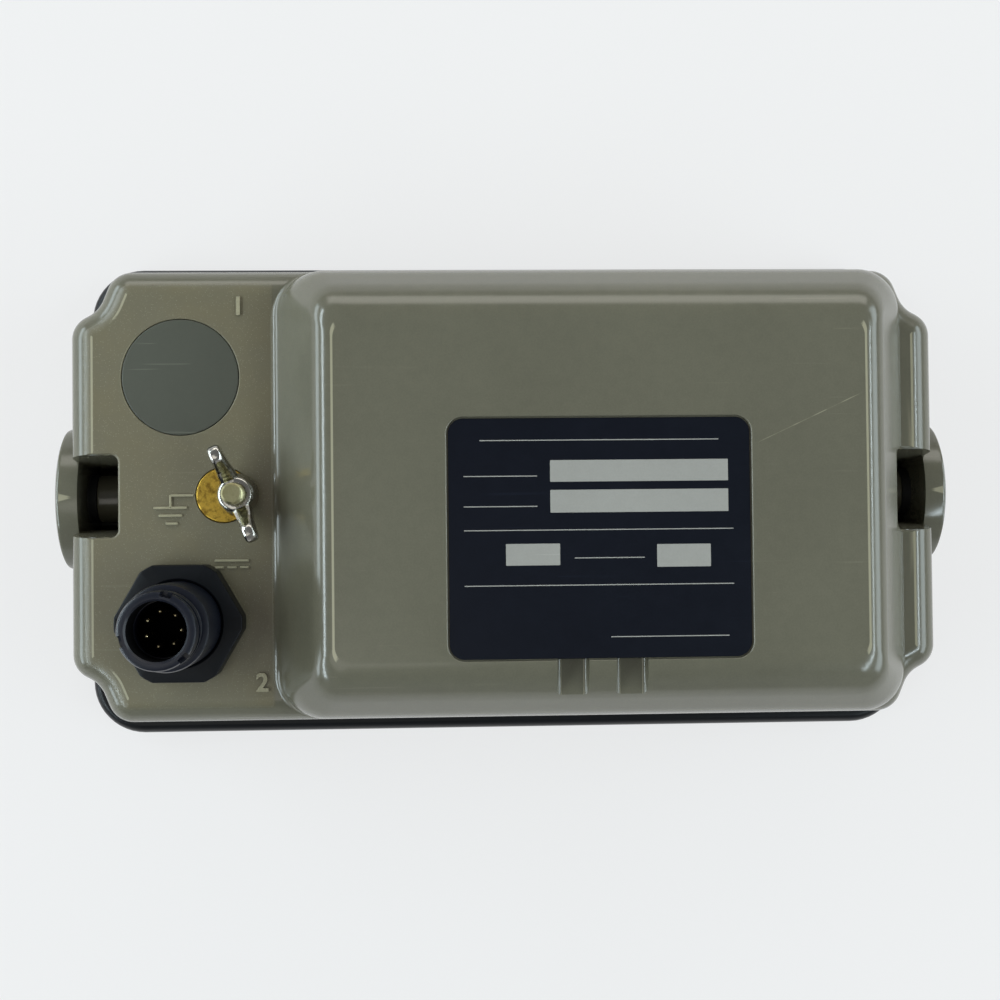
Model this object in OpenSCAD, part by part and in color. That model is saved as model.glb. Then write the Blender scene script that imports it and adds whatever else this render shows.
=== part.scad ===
// Display unit of a satellite compass, lying on its front rim with its back up (+Z).
// +X is to the right and +Y is up, as seen from behind. Lengths are in millimetres.

/* [Front frame] */
// Width of the front frame
frame_w = 174.8; // [173:0.2:182]
// Height of the front frame
frame_h = 99.6; // [99:0.2:106]
// Depth of the front frame's rim
frame_d = 8; // [7.4:0.1:9]
// Radius of the front frame's corners
frame_corner_r = 11; // [9:0.5:13]
// Width of the rim round the cover
rim_w = 2.6; // [2.2:0.1:2.9]
// Depth of the front panel behind the rim's edge
panel_recess = 1.2; // [1:0.1:1.4]
// Thickness of the front panel
panel_t = 3.8; // [3.6:0.1:4.2]

/* [Rear cover] */
// Wall of the rear cover
wall = 2.6; // [2.2:0.1:3]
// Height of the connector panel above the surface
panel_z = 43; // [42:0.2:46]
// Rise of the raised box above the connector panel
plateau_rise = 15.4; // [14:0.2:20]
// Step from the flange in to the body at top and bottom
body_step = 3.1; // [2.6:0.1:4]
// Radius along the cover's outer edges
edge_r = 5; // [3.5:0.1:5.5]
// Height of the flange that shows above the frame
flange_show = 3.2; // [2.5:0.1:5]

/* [Raised box] */
// Width of the connector panel's bay, from the left shoulder to the raised box's upper edge
connector_bay = 48.9; // [47.9:0.1:49.9]
// Width of the right shoulder's bay, out from the raised box's upper edge
shoulder_bay = 15.6; // [15:0.1:18.5]
// How far the raised box's upper edges are set in from the long walls
plateau_side = 7.4; // [6.3:0.1:8.4]
// Slope of the raised box's sides
plateau_slope = 60; // [58:1:64]
// Width of one groove below the label
groove_w = 5.9; // [5:0.1:7]
// Depth of the grooves
groove_d = 3.1; // [2:0.1:3.4]

/* [Bracket bosses] */
// Radius of the side disc that the bracket clamps
disc_r = 14.3; // [13.6:0.1:15]
// How far the side disc stands out
disc_t = 4; // [3:0.1:5]
// Radius of the inner boss
boss_r = 5; // [4.7:0.1:5.6]
// Thread radius of the bracket inserts
insert_thread_r = 2.5; // [2:0.5:3]
// Length of the bracket inserts
insert_len = 10; // [8:0.5:11]
// Half height of the open notch behind each disc
notch_y = 8; // [7.4:0.1:8.6]
// Width of the notch, from its inner end out to the shoulder
notch_w = 9.5; // [8.5:0.1:10]

/* [Antenna port] */
// Radius of the disc that blanks the antenna port
port_r = 11.2; // [10:0.1:11.4]
// Thickness of the blanking disc
port_t = 0.8; // [0.6:0.1:1.2]

/* [Label] */
// Width of the label
label_w = 56; // [40:0.5:60]
// Height of the label
label_h = 44.4; // [36:0.2:45]
// Depth of the label's pocket
label_pocket_d = 0.7; // [0.6:0.1:1]
// Thickness of the label
label_t = 0.4; // [0.2:0.1:0.5]

/* [Earth terminal] */
// Radius of the earth stud
stud_r = 2; // [1.5:0.5:2.5]
// Height of the stud's tip above the connector panel
stud_h = 11.2; // [11:0.1:13]
// Radius of the brass earth plate
earth_plate_r = 5.3; // [5.2:0.1:6]
// Span of the wing nut
wing_span = 19.6; // [18:0.2:20]
// Height of the wing nut
wing_h = 9.6; // [9:0.1:10]

/* [Connector] */
// Radius of the connector's bore
socket_r = 5.3; // [4.8:0.1:5.4]
// Radius of the connector's mouth ring
mouth_r = 7; // [6.8:0.1:7.4]
// Radius of the connector's collar
collar_r = 8; // [7.8:0.1:8.4]
// Height of the connector's mouth above the panel
mouth_h = 30.2; // [28:0.1:32]
// Across flats of the connector's nut
nut_af = 22.1; // [21:0.1:23]
// Thickness of the connector's nut
nut_t = 6.2; // [5:0.1:7]
// Number of connector pins
pin_count = 7; // [5:1:8]
// Radius of the circle of pins
pin_circle_r = 3.25; // [3:0.05:3.5]
// Radius of one pin
pin_r = 0.5; // [0.4:0.05:0.6]

/* [Display] */
// Width of the frame beside the window: the keys' bay and the right margin
keypad_bay = 74.8; // [74.8:0.2:78.8]
// Height of the frame above and below the window, together
window_bay = 35.6; // [35.6:0.2:39.6]
// Thickness of the window
window_t = 2; // [1.5:0.1:2.1]
// Depth of the display module
lcd_d = 6.8; // [6:0.1:8]

/* [Keys] */
// Travel of a key
key_travel = 0.8; // [0.6:0.05:0.9]
// Clearance round a key
key_gap = 0.25; // [0.2:0.05:0.3]
// How far a key stands proud of the front panel
key_proud = 0.7; // [0.6:0.05:0.8]

/* [Hidden] */
$fn = 64;

// Colours
cover_grey = [0.40, 0.39, 0.33];
frame_grey = [0.14, 0.15, 0.16];
port_grey = [0.29, 0.32, 0.29];
connector_navy = [0.11, 0.12, 0.16];
label_black = [0.04, 0.05, 0.09];
brass_yellow = [0.70, 0.58, 0.30];
steel_grey = [0.72, 0.72, 0.70];
board_green = [0.10, 0.35, 0.20];
rubber_black = [0.10, 0.10, 0.10];
key_grey = [0.55, 0.56, 0.55];
glass_blue = [0.30, 0.36, 0.40];

// Overrun of a cut past the face that it opens
over = 0.5;
// Gap between a piece and the pocket that it drops into
slip = 0.3;
// Radial clearance of a thread, a spigot or a sliding face
fit = 0.05;
// Radial clearance of a pressed or moulded-in piece
press_slip = 0.02;
// Steps in one rounded corner of an outline
corner_steps = 6;

// Front frame
panel_back = panel_recess + panel_t;
frame_x = frame_w / 2;
frame_y = frame_h / 2;
pocket_x = frame_x - rim_w;
pocket_y = frame_y - rim_w;
pocket_r = frame_corner_r - rim_w;
lip_w = 4.4;
lip_x = frame_x - lip_w;
lip_y = frame_y - lip_w;
lip_r = frame_corner_r - lip_w;
rim_round = 1.9;
rim_level_shares = [[0, 0.85], [0.15, 0.2], [0.35, 0], [0.65, 0], [0.88, 0.35], [1, 1]];

// Rear cover: flange, body, raised box
flange_x = pocket_x - slip;
flange_y = pocket_y - slip;
flange_r = pocket_r - slip;
flange_top = frame_d + flange_show;
gasket_t = 1;
gasket_w = 1.7;
gasket_set = 0.4;
cover_foot = panel_back + gasket_t;
shoulder_x = flange_x;
body_y = flange_y - body_step;
plateau_z = panel_z + plateau_rise;
plateau_left = connector_bay - shoulder_x;
plateau_right = shoulder_x - shoulder_bay;
plateau_y = body_y - plateau_side;
plateau_x = (plateau_left + plateau_right) / 2;
plateau_inner_z = plateau_z - wall;
plateau_bend_z = plateau_z - (body_y - plateau_y) * tan(plateau_slope);
ceiling_z = panel_z - wall;
plateau_foot = ceiling_z - wall;
corner_in = 8.3;
corner_r = 5.2;
waist_in = 5.2;
waist_drop = 7.5;
waist_r = 6;
shoulder_drop = 10.2;
shoulder_r = 4.9;

// Bracket bosses and notches
disc_set = 0.4;
disc_chamfer = 0.5;
boss_z = frame_d + slip + disc_r;
boss_gap = 2.2;
boss_floor = 2.3;
boss_end = shoulder_x - boss_gap;
boss_start = boss_end - insert_len - boss_floor;
insert_wall = 1.25;
insert_r = insert_thread_r + insert_wall;
knob_slip = 0.9;
notch_x = shoulder_x - notch_w;
notch_wall = 2;
notch_low_share = 0.8;
notch_low_y = notch_y * notch_low_share;
notch_knee_drop = 13;
notch_knee_z = panel_z - notch_knee_drop;
notch_under = 4;
notch_floor = boss_z - boss_r - notch_under;

// Case screws
screw_r = 1.5;
screw_len = 17.1;
screw_head_r = 2.8;
screw_head_t = 1.3;
screw_slip = 0.1;
hex_key_r = 1.25;
hex_key_d = 0.8;
cap_r = 3;
cap_t = 0.4;
screw_seat_z = panel_recess + cap_t + screw_head_t;
case_boss_r = 3.8;
case_boss_h = 25;
case_hole_d = 16;
screw_corner_in = 13.2;
screw_corner_down = 5.4;
screw_middle_x = 24;
screw_middle_down = 4.5;

// Window and display module
window_margin = 16.8;
window_w = frame_w - keypad_bay;
window_h = frame_h - window_bay;
window_x = pocket_x - window_margin - window_w / 2;
window_r = 2;
window_ledge = 2;
window_lip_t = 1.2;
seal_t = 0.3;
seal_w = 1.8;
seal_z = panel_recess + window_lip_t;
window_z = seal_z + seal_t;
lcd_gap = 0.2;
lcd_in = 1;
lcd_over = 0.5;
lcd_wall = 1;
lcd_slip = 0.2;
lcd_lip_t = 0.6;
lcd_lip_w = 2;
lcd_back_t = 0.8;
lcd_glass_t = 2.2;
lcd_x = window_w / 2 - lcd_in;
lcd_y = window_h / 2 + lcd_over;
lcd_z = panel_back + lcd_gap;
lcd_back = lcd_z + lcd_d;
lcd_glass_z = lcd_z + lcd_lip_t;
lcd_light_z = lcd_glass_z + lcd_glass_t;
ear_boss_h = 2;
ear_boss_r = 2.4;
ear_hole_d = 1.6;
ear_z = panel_back + ear_boss_h;
ear_t = 1;
ear_len = 7;
ear_w = 6;
ear_screw_out = 4.2;
ear_in = 7.5;
ear_y = lcd_y - ear_in;
lcd_screw_r = 1;
lcd_screw_head_r = 1.9;
lcd_screw_head_t = 1.3;
lcd_screw_len = 4.4;

// Keypad
board_t = 1.6;
keypad_left = wall + slip - shoulder_x;
keypad_right = window_x - lcd_x - ear_len - slip;
keypad_x = (keypad_left + keypad_right) / 2;
keypad_half = (keypad_right - keypad_left) / 2;
keypad_in = 2;
keypad_y = window_h / 2 - keypad_in;
zone_depth = 1.6;
zone_side = 5.75;
zone_end = 1.2;
zone_r = 2;
zone_z = panel_back - zone_depth;
mat_t = 0.9;
mat_side = 4;
mat_hole_r = 1.65;
switch_r = 3;
switch_t = 0.5;
keypad_board_z = panel_back + mat_t + switch_t;
keypad_boss_r = 1.9;
keypad_boss_in = 1.95;
keypad_boss_down = 3;
keypad_hole_d = 1.4;
keypad_screw_r = 0.8;
keypad_screw_head_r = 1.5;
keypad_screw_head_t = 1;
keypad_screw_len = 4;

// Keys, each as its centre, width and height
key_r = 1.5;
key_flange_w = 0.8;
key_flange_t = zone_depth - key_travel - 2 * fit;
key_end_gap = 0.1;
key_stem_r = 1.4;
key_front_z = panel_recess - key_proud;
key_flange_z = zone_z + fit;
key_stem_z = keypad_board_z - key_travel - key_end_gap;
key_steps = 3;
key_step = keypad_y / key_steps;
arrow_down_share = 1.7;
arrow_y = keypad_y - key_step * arrow_down_share;
arrow_pitch = 10;
arrow_w = 10;
arrow_h_share = 0.7;
arrow_h = key_step * arrow_h_share;
arrow_side_w = 9;
enter_w = 7;
enter_h_share = 0.8;
enter_h = key_step * enter_h_share;
menu_shift = 8.3;
menu_up_share = 1.95;
menu_y = key_step * menu_up_share - keypad_y;
menu_w = 12;
power_up_share = 0.7;
power_y = key_step * power_up_share - keypad_y;
power_w = 20;
power_h = enter_h;
up_place = [keypad_x, arrow_y + key_step, arrow_w, arrow_h];
down_place = [keypad_x, arrow_y - key_step, arrow_w, arrow_h];
left_place = [keypad_x - arrow_pitch, arrow_y, arrow_side_w, arrow_h];
right_place = [keypad_x + arrow_pitch, arrow_y, arrow_side_w, arrow_h];
enter_place = [keypad_x, arrow_y, enter_w, enter_h];
menu_place = [keypad_x - menu_shift, menu_y, menu_w, arrow_h];
display_place = [keypad_x + menu_shift, menu_y, menu_w, arrow_h];
power_place = [keypad_x, power_y, power_w, power_h];
key_places = [
    up_place, down_place, left_place, right_place, enter_place, menu_place, display_place, power_place
];

// Screws and posts of the boards
board_screw_r = 1.2;
board_screw_head_r = 2.2;
board_screw_head_t = 1.6;
board_screw_len = 5.6;
post_hole_d = 10;

// Main board
spacer_h = 6;
spacer_r = 2.6;
spacer_in = 5;
main_over_y = 0.5;
main_y = lcd_y + main_over_y;
main_z = lcd_back + spacer_h;
main_top = main_z + board_t;
chip_w_share = 0.6;
chip_w = main_y * chip_w_share;
chip_t = 2;
chip_r = 1;
chip_share = [0.25, 0.36];
memory_w_share = 0.24;
memory_w = lcd_x * memory_w_share;
memory_h = main_y * memory_w_share;
memory_t = 1.4;
memory_shares = [[-0.28, 0.66], [-0.28, 0.24]];
shield_size_shares = [0.57, 0.66];
shield_w = lcd_x * shield_size_shares[0];
shield_h = main_y * shield_size_shares[1];
shield_t = 4;
shield_share = [0.48, -0.50];
battery_r_share = 0.3;
battery_r = main_y * battery_r_share;
battery_t = 4;
battery_share = [-0.28, -0.48];

// Power board
power_post_len = 19.8;
power_post_r = 3;
power_top = plateau_inner_z - power_post_len;
power_z = power_top - board_t;
power_board_in = 10.25;
power_board_down = 5.4;
power_board_x = (plateau_right - plateau_left) / 2 - power_board_in;
power_board_y = plateau_y - power_board_down;
power_post_in = 6;
power_post_down = 5;
transformer_size_shares = [0.43, 0.52];
transformer_w = power_board_x * transformer_size_shares[0];
transformer_h = power_board_y * transformer_size_shares[1];
transformer_t = 12;
transformer_share = [0, 0.26];
inductor_r_share = 0.22;
inductor_r = power_board_y * inductor_r_share;
inductor_t = 8;
inductor_shares = [[0.52, 0.39], [0.52, -0.39]];
capacitor_r = 5;
capacitor_t = 14;
capacitor_shares = [[-0.52, 0.45], [-0.52, -0.45], [-0.10, -0.52]];

// Cable between the main board and the power board
link_in = 4;
link_x = plateau_x - power_board_x + link_in;
link_w = 16;
link_t = 0.5;
link_socket_w = 18;
link_socket_h = 4;
link_socket_t = 3;

// Connector board, hung from the connector panel
io_left_in = 17.5;
io_left = io_left_in - shoulder_x;
io_right_in = 6.4;
io_right = plateau_left - io_right_in;
io_end = 3.2;
io_y = body_y - wall - io_end;
io_post_len = 18.8;
io_post_r = 2.6;
io_post_hole_d = 6;
io_post_in = 4;
io_post_down = 3;
io_post_middle_down_share = 0.24;
io_post_middle_down = io_y * io_post_middle_down_share;
io_post_corner_in = 3.5;
io_post_corner_down = 2.5;
io_top = ceiling_z - io_post_len;
io_z = io_top - board_t;
relay_w = 12;
relay_h = 8;
relay_t = 9;
relay_in = 8;
relay_y_share = 0.37;
relay_y = io_y * relay_y_share;
choke_r = 5;
choke_t = 6;
choke_in = 14;
choke_y_share = 0.68;
choke_y = io_y * choke_y_share;
io_capacitor_r = 3;
io_capacitor_t = 8;
io_capacitor_in = 5;
buzzer_r = 5.5;
buzzer_t = 7;
buzzer_hole_r = 1;
buzzer_hole_d = 1.5;
buzzer_in = 6.5;
buzzer_down_share = 0.55;
buzzer_down = io_y * buzzer_down_share;

// Antenna port
port_in = 21.5;
port_x = port_in - shoulder_x;
port_down = 21;
port_y = body_y - port_down;
port_ledge = 2.2;
port_hole_r = port_r - port_ledge;
port_spigot_len = 2.8;
port_ring_w = 1.6;
port_ring_d = 0.2;

// Label and the grooves below it
label_shift = 0.45;
label_x = plateau_x - label_shift;
label_edge = 5.3;
label_y = label_edge + label_h / 2 - plateau_y;
label_r = 2.8;
label_z = plateau_z - label_pocket_d;
label_low_y = label_y - label_h / 2 - slip;
groove_pitch = 11;
groove_shift = 0.25;
groove_z = plateau_z - groove_d;
groove_pad_t = 2.2;
groove_pad_side = 2;

// Earth terminal
stud_in = 32.5;
stud_x = stud_in - shoulder_x;
stud_tail = 5;
stud_foot = ceiling_z - stud_tail;
stud_tip = panel_z + stud_h;
stud_point = 0.4;
stud_lead_len = 3.4;
stud_lead_set = 0.25;
stud_lead_r = stud_r - stud_lead_set;
stud_lead_z = stud_tip - stud_lead_len;
earth_plate_t = 1.2;
earth_plate_set = 1;
earth_plate_edge = 0.5;
earth_plate_shift = earth_plate_r - stud_r - earth_plate_edge;
earth_plate_x = stud_x - earth_plate_shift;
earth_plate_top = panel_z - earth_plate_set + earth_plate_t;
strap_t = 0.8;
strap_w = 3;
strap_ring_w = 1.6;
strap_drop_y = 6;
inner_nut_w = 1.9;
inner_nut_t = 2.6;
washer_w = 1.6;
washer_t = 0.95;
washer_slip = 0.1;
washer_z = earth_plate_top + fit;
wing_z = washer_z + washer_t + fit;
hub_w = 2.1;
hub_top_w = 1.2;
hub_h = 4.4;
wing_t = 1.9;
wing_turn = 113;
wing_shares = [
    [0.28, 0.08, 0], [0.44, 0.08, 0], [1, 0.50, 0.25], [1, 1, 0.20], [0.62, 1, 0.18], [0.30, 0.42, 0.10]
];

// Connector
conn_in = 21.8;
conn_x = conn_in - shoulder_x;
conn_up = 19.5;
conn_y = conn_up - body_y;
seal_ring_t = 1;
seal_ring_w = 2.1;
conn_flange_w = 2.6;
conn_flange_r = collar_r + conn_flange_w;
conn_flange_t = 2;
conn_tail_r = 7.2;
conn_tail_len = 2.9;
conn_flange_top = ceiling_z - seal_ring_t;
conn_flange_z = conn_flange_top - conn_flange_t;
conn_tail_z = conn_flange_z - conn_tail_len;
mouth_z = panel_z + mouth_h;
mouth_ring_len = 6.4;
mouth_chamfer = 0.5;
neck_len = 2.8;
neck_set = 0.7;
neck_r = mouth_r - neck_set;
mouth_ring_z = mouth_z - mouth_ring_len;
collar_top = mouth_ring_z - neck_len;
entry_count = 3;
entry_w = 2.4;
nut_corner = 1;
insert_set = 0.3;
insert_face_drop = 15.2;
insert_face_z = mouth_z - insert_face_drop;
socket_len = 7.2;
socket_z = mouth_z - socket_len;
insert_bore_set = 0.25;
insert_bore_r = socket_r - insert_bore_set;
pin_below = 0.2;
pin_tip_z = socket_z - pin_below;
pin_foot_set = 0.5;
pin_foot_z = conn_tail_z - pin_foot_set;
pin_slip = 0.03;
pin_turn = -3;

// Wiring from the connector to its board
harness_r = 2;
harness_bend_r = 3;
harness_fan_r = 4.2;
harness_fan_t = 1;
harness_run = 15;
plug_w = 8;
plug_h = 7;
plug_t = 3.4;
plug_y = conn_y + harness_run;
plug_top = io_top + plug_t;
harness_z = plug_top + harness_bend_r;
harness_fan_z = pin_foot_z - harness_fan_t;

// Outlines: each corner is [x, y, radius], and the corners run clockwise
function unit(v) = v / norm(v);
function point(corner) = [corner[0], corner[1]];
function turn_between(a, b) = ((b - a + 540) % 360) - 180;
function arc_points(p, q, n, r) =
    let (
        u = unit(p - q),
        v = unit(n - q),
        half = acos(u * v) / 2,
        centre = q + unit(u + v) * r / sin(half),
        from = q + u * r / tan(half) - centre,
        to = q + v * r / tan(half) - centre,
        start = atan2(from[1], from[0]),
        sweep = turn_between(start, atan2(to[1], to[0]))
    )
    [for (i = [0 : corner_steps])
        let (a = start + sweep * i / corner_steps) centre + r * [cos(a), sin(a)]];
function rounded_outline(corners) =
    let (count = len(corners))
    [for (i = [0 : count - 1])
        let (
            p = point(corners[(i + count - 1) % count]),
            q = point(corners[i]),
            n = point(corners[(i + 1) % count]),
            r = corners[i][2]
        )
        each (r > 0 ? arc_points(p, q, n, r) : [q])];
function inset_corner(p, q, n, r, w) =
    let (
        d1 = unit(q - p),
        d2 = unit(n - q),
        n1 = [d1[1], -d1[0]],
        n2 = [d2[1], -d2[0]],
        turn = d1[0] * d2[1] - d1[1] * d2[0],
        place = q + (n1 + n2) * w / (1 + n1 * n2),
        radius = turn < 0 ? max(r - w, 0) : r + w
    )
    [place[0], place[1], r > 0 ? radius : 0];
function inset_outline(corners, w) =
    let (count = len(corners))
    [for (i = [0 : count - 1])
        inset_corner(
            point(corners[(i + count - 1) % count]),
            point(corners[i]),
            point(corners[(i + 1) % count]),
            corners[i][2],
            w
        )];
function rectangle_corners(x, y, r) = [[-x, y, r], [x, y, r], [x, -y, r], [-x, -y, r]];
function both_ways(x, y) = [for (sx = [-1, 1], sy = [-1, 1]) [sx * x, sy * y]];

// Basic solids
module prism_z(outline, z0, z1) {
    translate([0, 0, z0])
        linear_extrude(z1 - z0)
            polygon(outline);
}

// The outline's points are [x, z]
module prism_y(outline, y0, y1) {
    translate([0, y1, 0])
        rotate([90, 0, 0])
            linear_extrude(y1 - y0)
                polygon(outline);
}

// The outline's points are [y, z]
module prism_x(outline, x0, x1) {
    translate([x0, 0, 0])
        rotate([90, 0, 90])
            linear_extrude(x1 - x0)
                polygon(outline);
}

module slab(x, y, r, z0, z1) {
    prism_z(rounded_outline(rectangle_corners(x, y, r)), z0, z1);
}

module box(x0, x1, y0, y1, z0, z1) {
    translate([x0, y0, z0])
        cube([x1 - x0, y1 - y0, z1 - z0]);
}

module rod(r, z0, z1) {
    translate([0, 0, z0])
        cylinder(r = r, h = z1 - z0);
}

module rod_x(r, x0, x1, z) {
    translate([x0, 0, z])
        rotate([0, 90, 0])
            cylinder(r = r, h = x1 - x0);
}

module hexagon(r, z0, z1) {
    translate([0, 0, z0])
        cylinder(r = r, h = z1 - z0, $fn = 6);
}

module tube(r_out, r_in, z0, z1) {
    difference() {
        rod(r_out, z0, z1);
        rod(r_in, z0 - over, z1 + over);
    }
}

module at(places) {
    for (p = places)
        translate([p[0], p[1], 0])
            children();
}

// A small screw with its head's seat at z, its shank pointing down
module screw_down(r, length, head_r, head_t, z) {
    rod(r, z - length, z);
    difference() {
        rod(head_r, z, z + head_t);
        hexagon(r, z + head_t / 2, z + head_t + over);
    }
}

// A small screw with its head's seat at z, its shank pointing up
module screw_up(r, length, head_r, head_t, z) {
    rod(r, z, z + length);
    difference() {
        rod(head_r, z - head_t, z);
        hexagon(r, z - head_t - over, z - head_t / 2);
    }
}

// Front frame
case_screw_corner = [shoulder_x - screw_corner_in, body_y - screw_corner_down];
case_screw_middle = [screw_middle_x, body_y - screw_middle_down];
case_screw_places = concat(
    both_ways(case_screw_corner[0], case_screw_corner[1]),
    both_ways(case_screw_middle[0], case_screw_middle[1])
);
lcd_screw_places = [
    for (p = both_ways(lcd_x + ear_screw_out, ear_y)) [window_x + p[0], p[1]]
];
keypad_screw_places = [
    for (p = both_ways(keypad_half - keypad_boss_in, keypad_y - keypad_boss_down)) [keypad_x + p[0], p[1]]
];

// The rim's rounded section, from the bottom up, for a side that lies at reach
function rim_section(reach) = [for (s = rim_level_shares) [reach - s[1] * rim_round, s[0] * frame_d]];
function rim_span(reach) = concat(
    rim_section(reach),
    [for (i = [len(rim_level_shares) - 1 : -1 : 0]) [-rim_section(reach)[i][0], rim_section(reach)[i][1]]]
);

module frame_blank() {
    span_x = frame_x - frame_corner_r;
    span_y = frame_y - frame_corner_r;
    prism_x(rim_span(frame_y), -span_x, span_x);
    prism_y(rim_span(frame_x), -span_y, span_y);
    at(both_ways(span_x, span_y))
        rotate_extrude()
            polygon(concat([[0, 0]], rim_section(frame_corner_r), [[0, frame_d]]));
}

module front_frame() {
    opening_x = window_w / 2 - window_ledge;
    opening_y = window_h / 2 - window_ledge;
    rebate_x = window_w / 2 + slip;
    rebate_y = window_h / 2 + slip;
    color(frame_grey)
        difference() {
            union() {
                difference() {
                    frame_blank();
                    slab(lip_x, lip_y, lip_r, -over, panel_recess);
                    slab(pocket_x, pocket_y, pocket_r, panel_back, frame_d + over);
                    translate([window_x, 0, 0]) {
                        slab(opening_x, opening_y, window_r, 0, panel_back);
                        slab(rebate_x, rebate_y, window_r + slip, seal_z, panel_back + over);
                    }
                    translate([keypad_x, 0, 0])
                        slab(
                            keypad_half - zone_side, keypad_y - zone_end, zone_r,
                            zone_z, panel_back + over
                        );
                    for (k = key_places)
                        translate([k[0], k[1], 0])
                            slab(k[2] / 2 + key_gap, k[3] / 2 + key_gap, key_r + key_gap, 0, panel_back);
                }
                at(lcd_screw_places)
                    rod(ear_boss_r, panel_back - over, ear_z);
                at(keypad_screw_places)
                    rod(keypad_boss_r, panel_back - over, keypad_board_z);
            }
            at(case_screw_places) {
                rod(screw_r + screw_slip, 0, panel_back + over);
                rod(cap_r + fit, 0, screw_seat_z);
            }
            at(lcd_screw_places)
                rod(lcd_screw_r + fit, panel_back - ear_hole_d, ear_z + over);
            at(keypad_screw_places)
                rod(keypad_screw_r + fit, panel_back - keypad_hole_d, keypad_board_z + over);
        }
}

module case_gasket() {
    outer = rectangle_corners(flange_x - gasket_set, flange_y - gasket_set, flange_r - gasket_set);
    color(rubber_black)
        difference() {
            prism_z(rounded_outline(outer), panel_back, cover_foot);
            prism_z(rounded_outline(inset_outline(outer, gasket_w)), panel_back - over, cover_foot + over);
        }
}

module case_screws() {
    color(steel_grey)
        at(case_screw_places) {
            rod(screw_r, screw_seat_z, screw_seat_z + screw_len);
            difference() {
                rod(screw_head_r, screw_seat_z - screw_head_t, screw_seat_z);
                hexagon(hex_key_r, 0, screw_seat_z - screw_head_t + hex_key_d);
            }
        }
}

module screw_caps() {
    color(frame_grey)
        at(case_screw_places)
            rod(cap_r, panel_recess, panel_recess + cap_t);
}

// Window and display module
module window_seal() {
    color(rubber_black)
        translate([window_x, 0, 0])
            difference() {
                slab(window_w / 2, window_h / 2, window_r, seal_z, window_z);
                slab(window_w / 2 - seal_w, window_h / 2 - seal_w, window_r, seal_z - over, window_z + over);
            }
}

module display_window() {
    color(glass_blue)
        translate([window_x, 0, 0])
            slab(window_w / 2, window_h / 2, window_r, window_z, window_z + window_t);
}

module lcd_frame() {
    inner_x = lcd_x - lcd_wall;
    inner_y = lcd_y - lcd_wall;
    view_x = lcd_x - lcd_lip_w;
    view_y = lcd_y - lcd_lip_w;
    color(steel_grey)
        difference() {
            union() {
                translate([window_x, 0, 0])
                    box(-lcd_x, lcd_x, -lcd_y, lcd_y, lcd_z, lcd_back);
                for (y = [-ear_y, ear_y])
                    translate([window_x, y, 0])
                        box(-lcd_x - ear_len, lcd_x + ear_len, -ear_w / 2, ear_w / 2, ear_z, ear_z + ear_t);
            }
            translate([window_x, 0, 0]) {
                box(-inner_x, inner_x, -inner_y, inner_y, lcd_glass_z, lcd_back - lcd_back_t);
                box(-view_x, view_x, -view_y, view_y, lcd_z - over, lcd_back - lcd_back_t);
            }
            at(lcd_screw_places)
                rod(lcd_screw_r + screw_slip, ear_z - over, ear_z + ear_t + over);
        }
}

module lcd_layer(z0, z1) {
    x = lcd_x - lcd_wall - lcd_slip;
    y = lcd_y - lcd_wall - lcd_slip;
    translate([window_x, 0, 0])
        box(-x, x, -y, y, z0, z1);
}

module lcd_glass() {
    color(glass_blue)
        lcd_layer(lcd_glass_z, lcd_light_z);
}

module lcd_backlight() {
    color("white")
        lcd_layer(lcd_light_z, lcd_back - lcd_back_t);
}

module lcd_screws() {
    color(steel_grey)
        at(lcd_screw_places)
            screw_down(lcd_screw_r, lcd_screw_len, lcd_screw_head_r, lcd_screw_head_t, ear_z + ear_t);
}

// Keypad
module keypad_mat() {
    color(rubber_black)
        difference() {
            translate([keypad_x, 0, 0])
                slab(keypad_half - mat_side, keypad_y, zone_r, panel_back, panel_back + mat_t);
            at(key_places)
                rod(mat_hole_r, panel_back - over, panel_back + mat_t + over);
        }
}

module key_switches() {
    color(steel_grey)
        at(key_places)
            tube(switch_r, mat_hole_r, panel_back + mat_t, keypad_board_z);
}

module keypad_board() {
    color(board_green)
        difference() {
            box(keypad_left, keypad_right, -keypad_y, keypad_y, keypad_board_z, keypad_board_z + board_t);
            at(keypad_screw_places)
                rod(keypad_screw_r + screw_slip, keypad_board_z - over, keypad_board_z + board_t + over);
        }
}

module keypad_screws() {
    seat = keypad_board_z + board_t;
    color(steel_grey)
        at(keypad_screw_places)
            screw_down(keypad_screw_r, keypad_screw_len, keypad_screw_head_r, keypad_screw_head_t, seat);
}

module key(place) {
    x = place[2] / 2;
    y = place[3] / 2;
    flange_back = key_flange_z + key_flange_t;
    color(key_grey)
        translate([place[0], place[1], 0]) {
            slab(x, y, key_r, key_front_z, key_flange_z);
            slab(x + key_flange_w, y + key_flange_w, key_r, key_flange_z, flange_back);
            rod(key_stem_r, key_flange_z, key_stem_z);
        }
}

module up_key() { key(up_place); }
module down_key() { key(down_place); }
module left_key() { key(left_place); }
module right_key() { key(right_place); }
module enter_key() { key(enter_place); }
module menu_key() { key(menu_place); }
module display_key() { key(display_place); }
module power_key() { key(power_place); }

// Main board, on the back of the display module
function main_places(shares) = [for (s = shares) [s[0] * lcd_x, s[1] * main_y]];
main_screw_places = [
    for (p = both_ways(lcd_x - spacer_in, main_y - spacer_in)) [window_x + p[0], p[1]]
];

module main_board() {
    color(board_green)
        difference() {
            box(window_x - lcd_x, window_x + lcd_x, -main_y, main_y, main_z, main_top);
            at(main_screw_places)
                rod(board_screw_r + screw_slip, main_z - over, main_top + over);
        }
}

module main_board_spacers() {
    color(brass_yellow)
        at(main_screw_places)
            difference() {
                hexagon(spacer_r, lcd_back, main_z);
                rod(board_screw_r + fit, lcd_back - over, main_z + over);
            }
}

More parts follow.
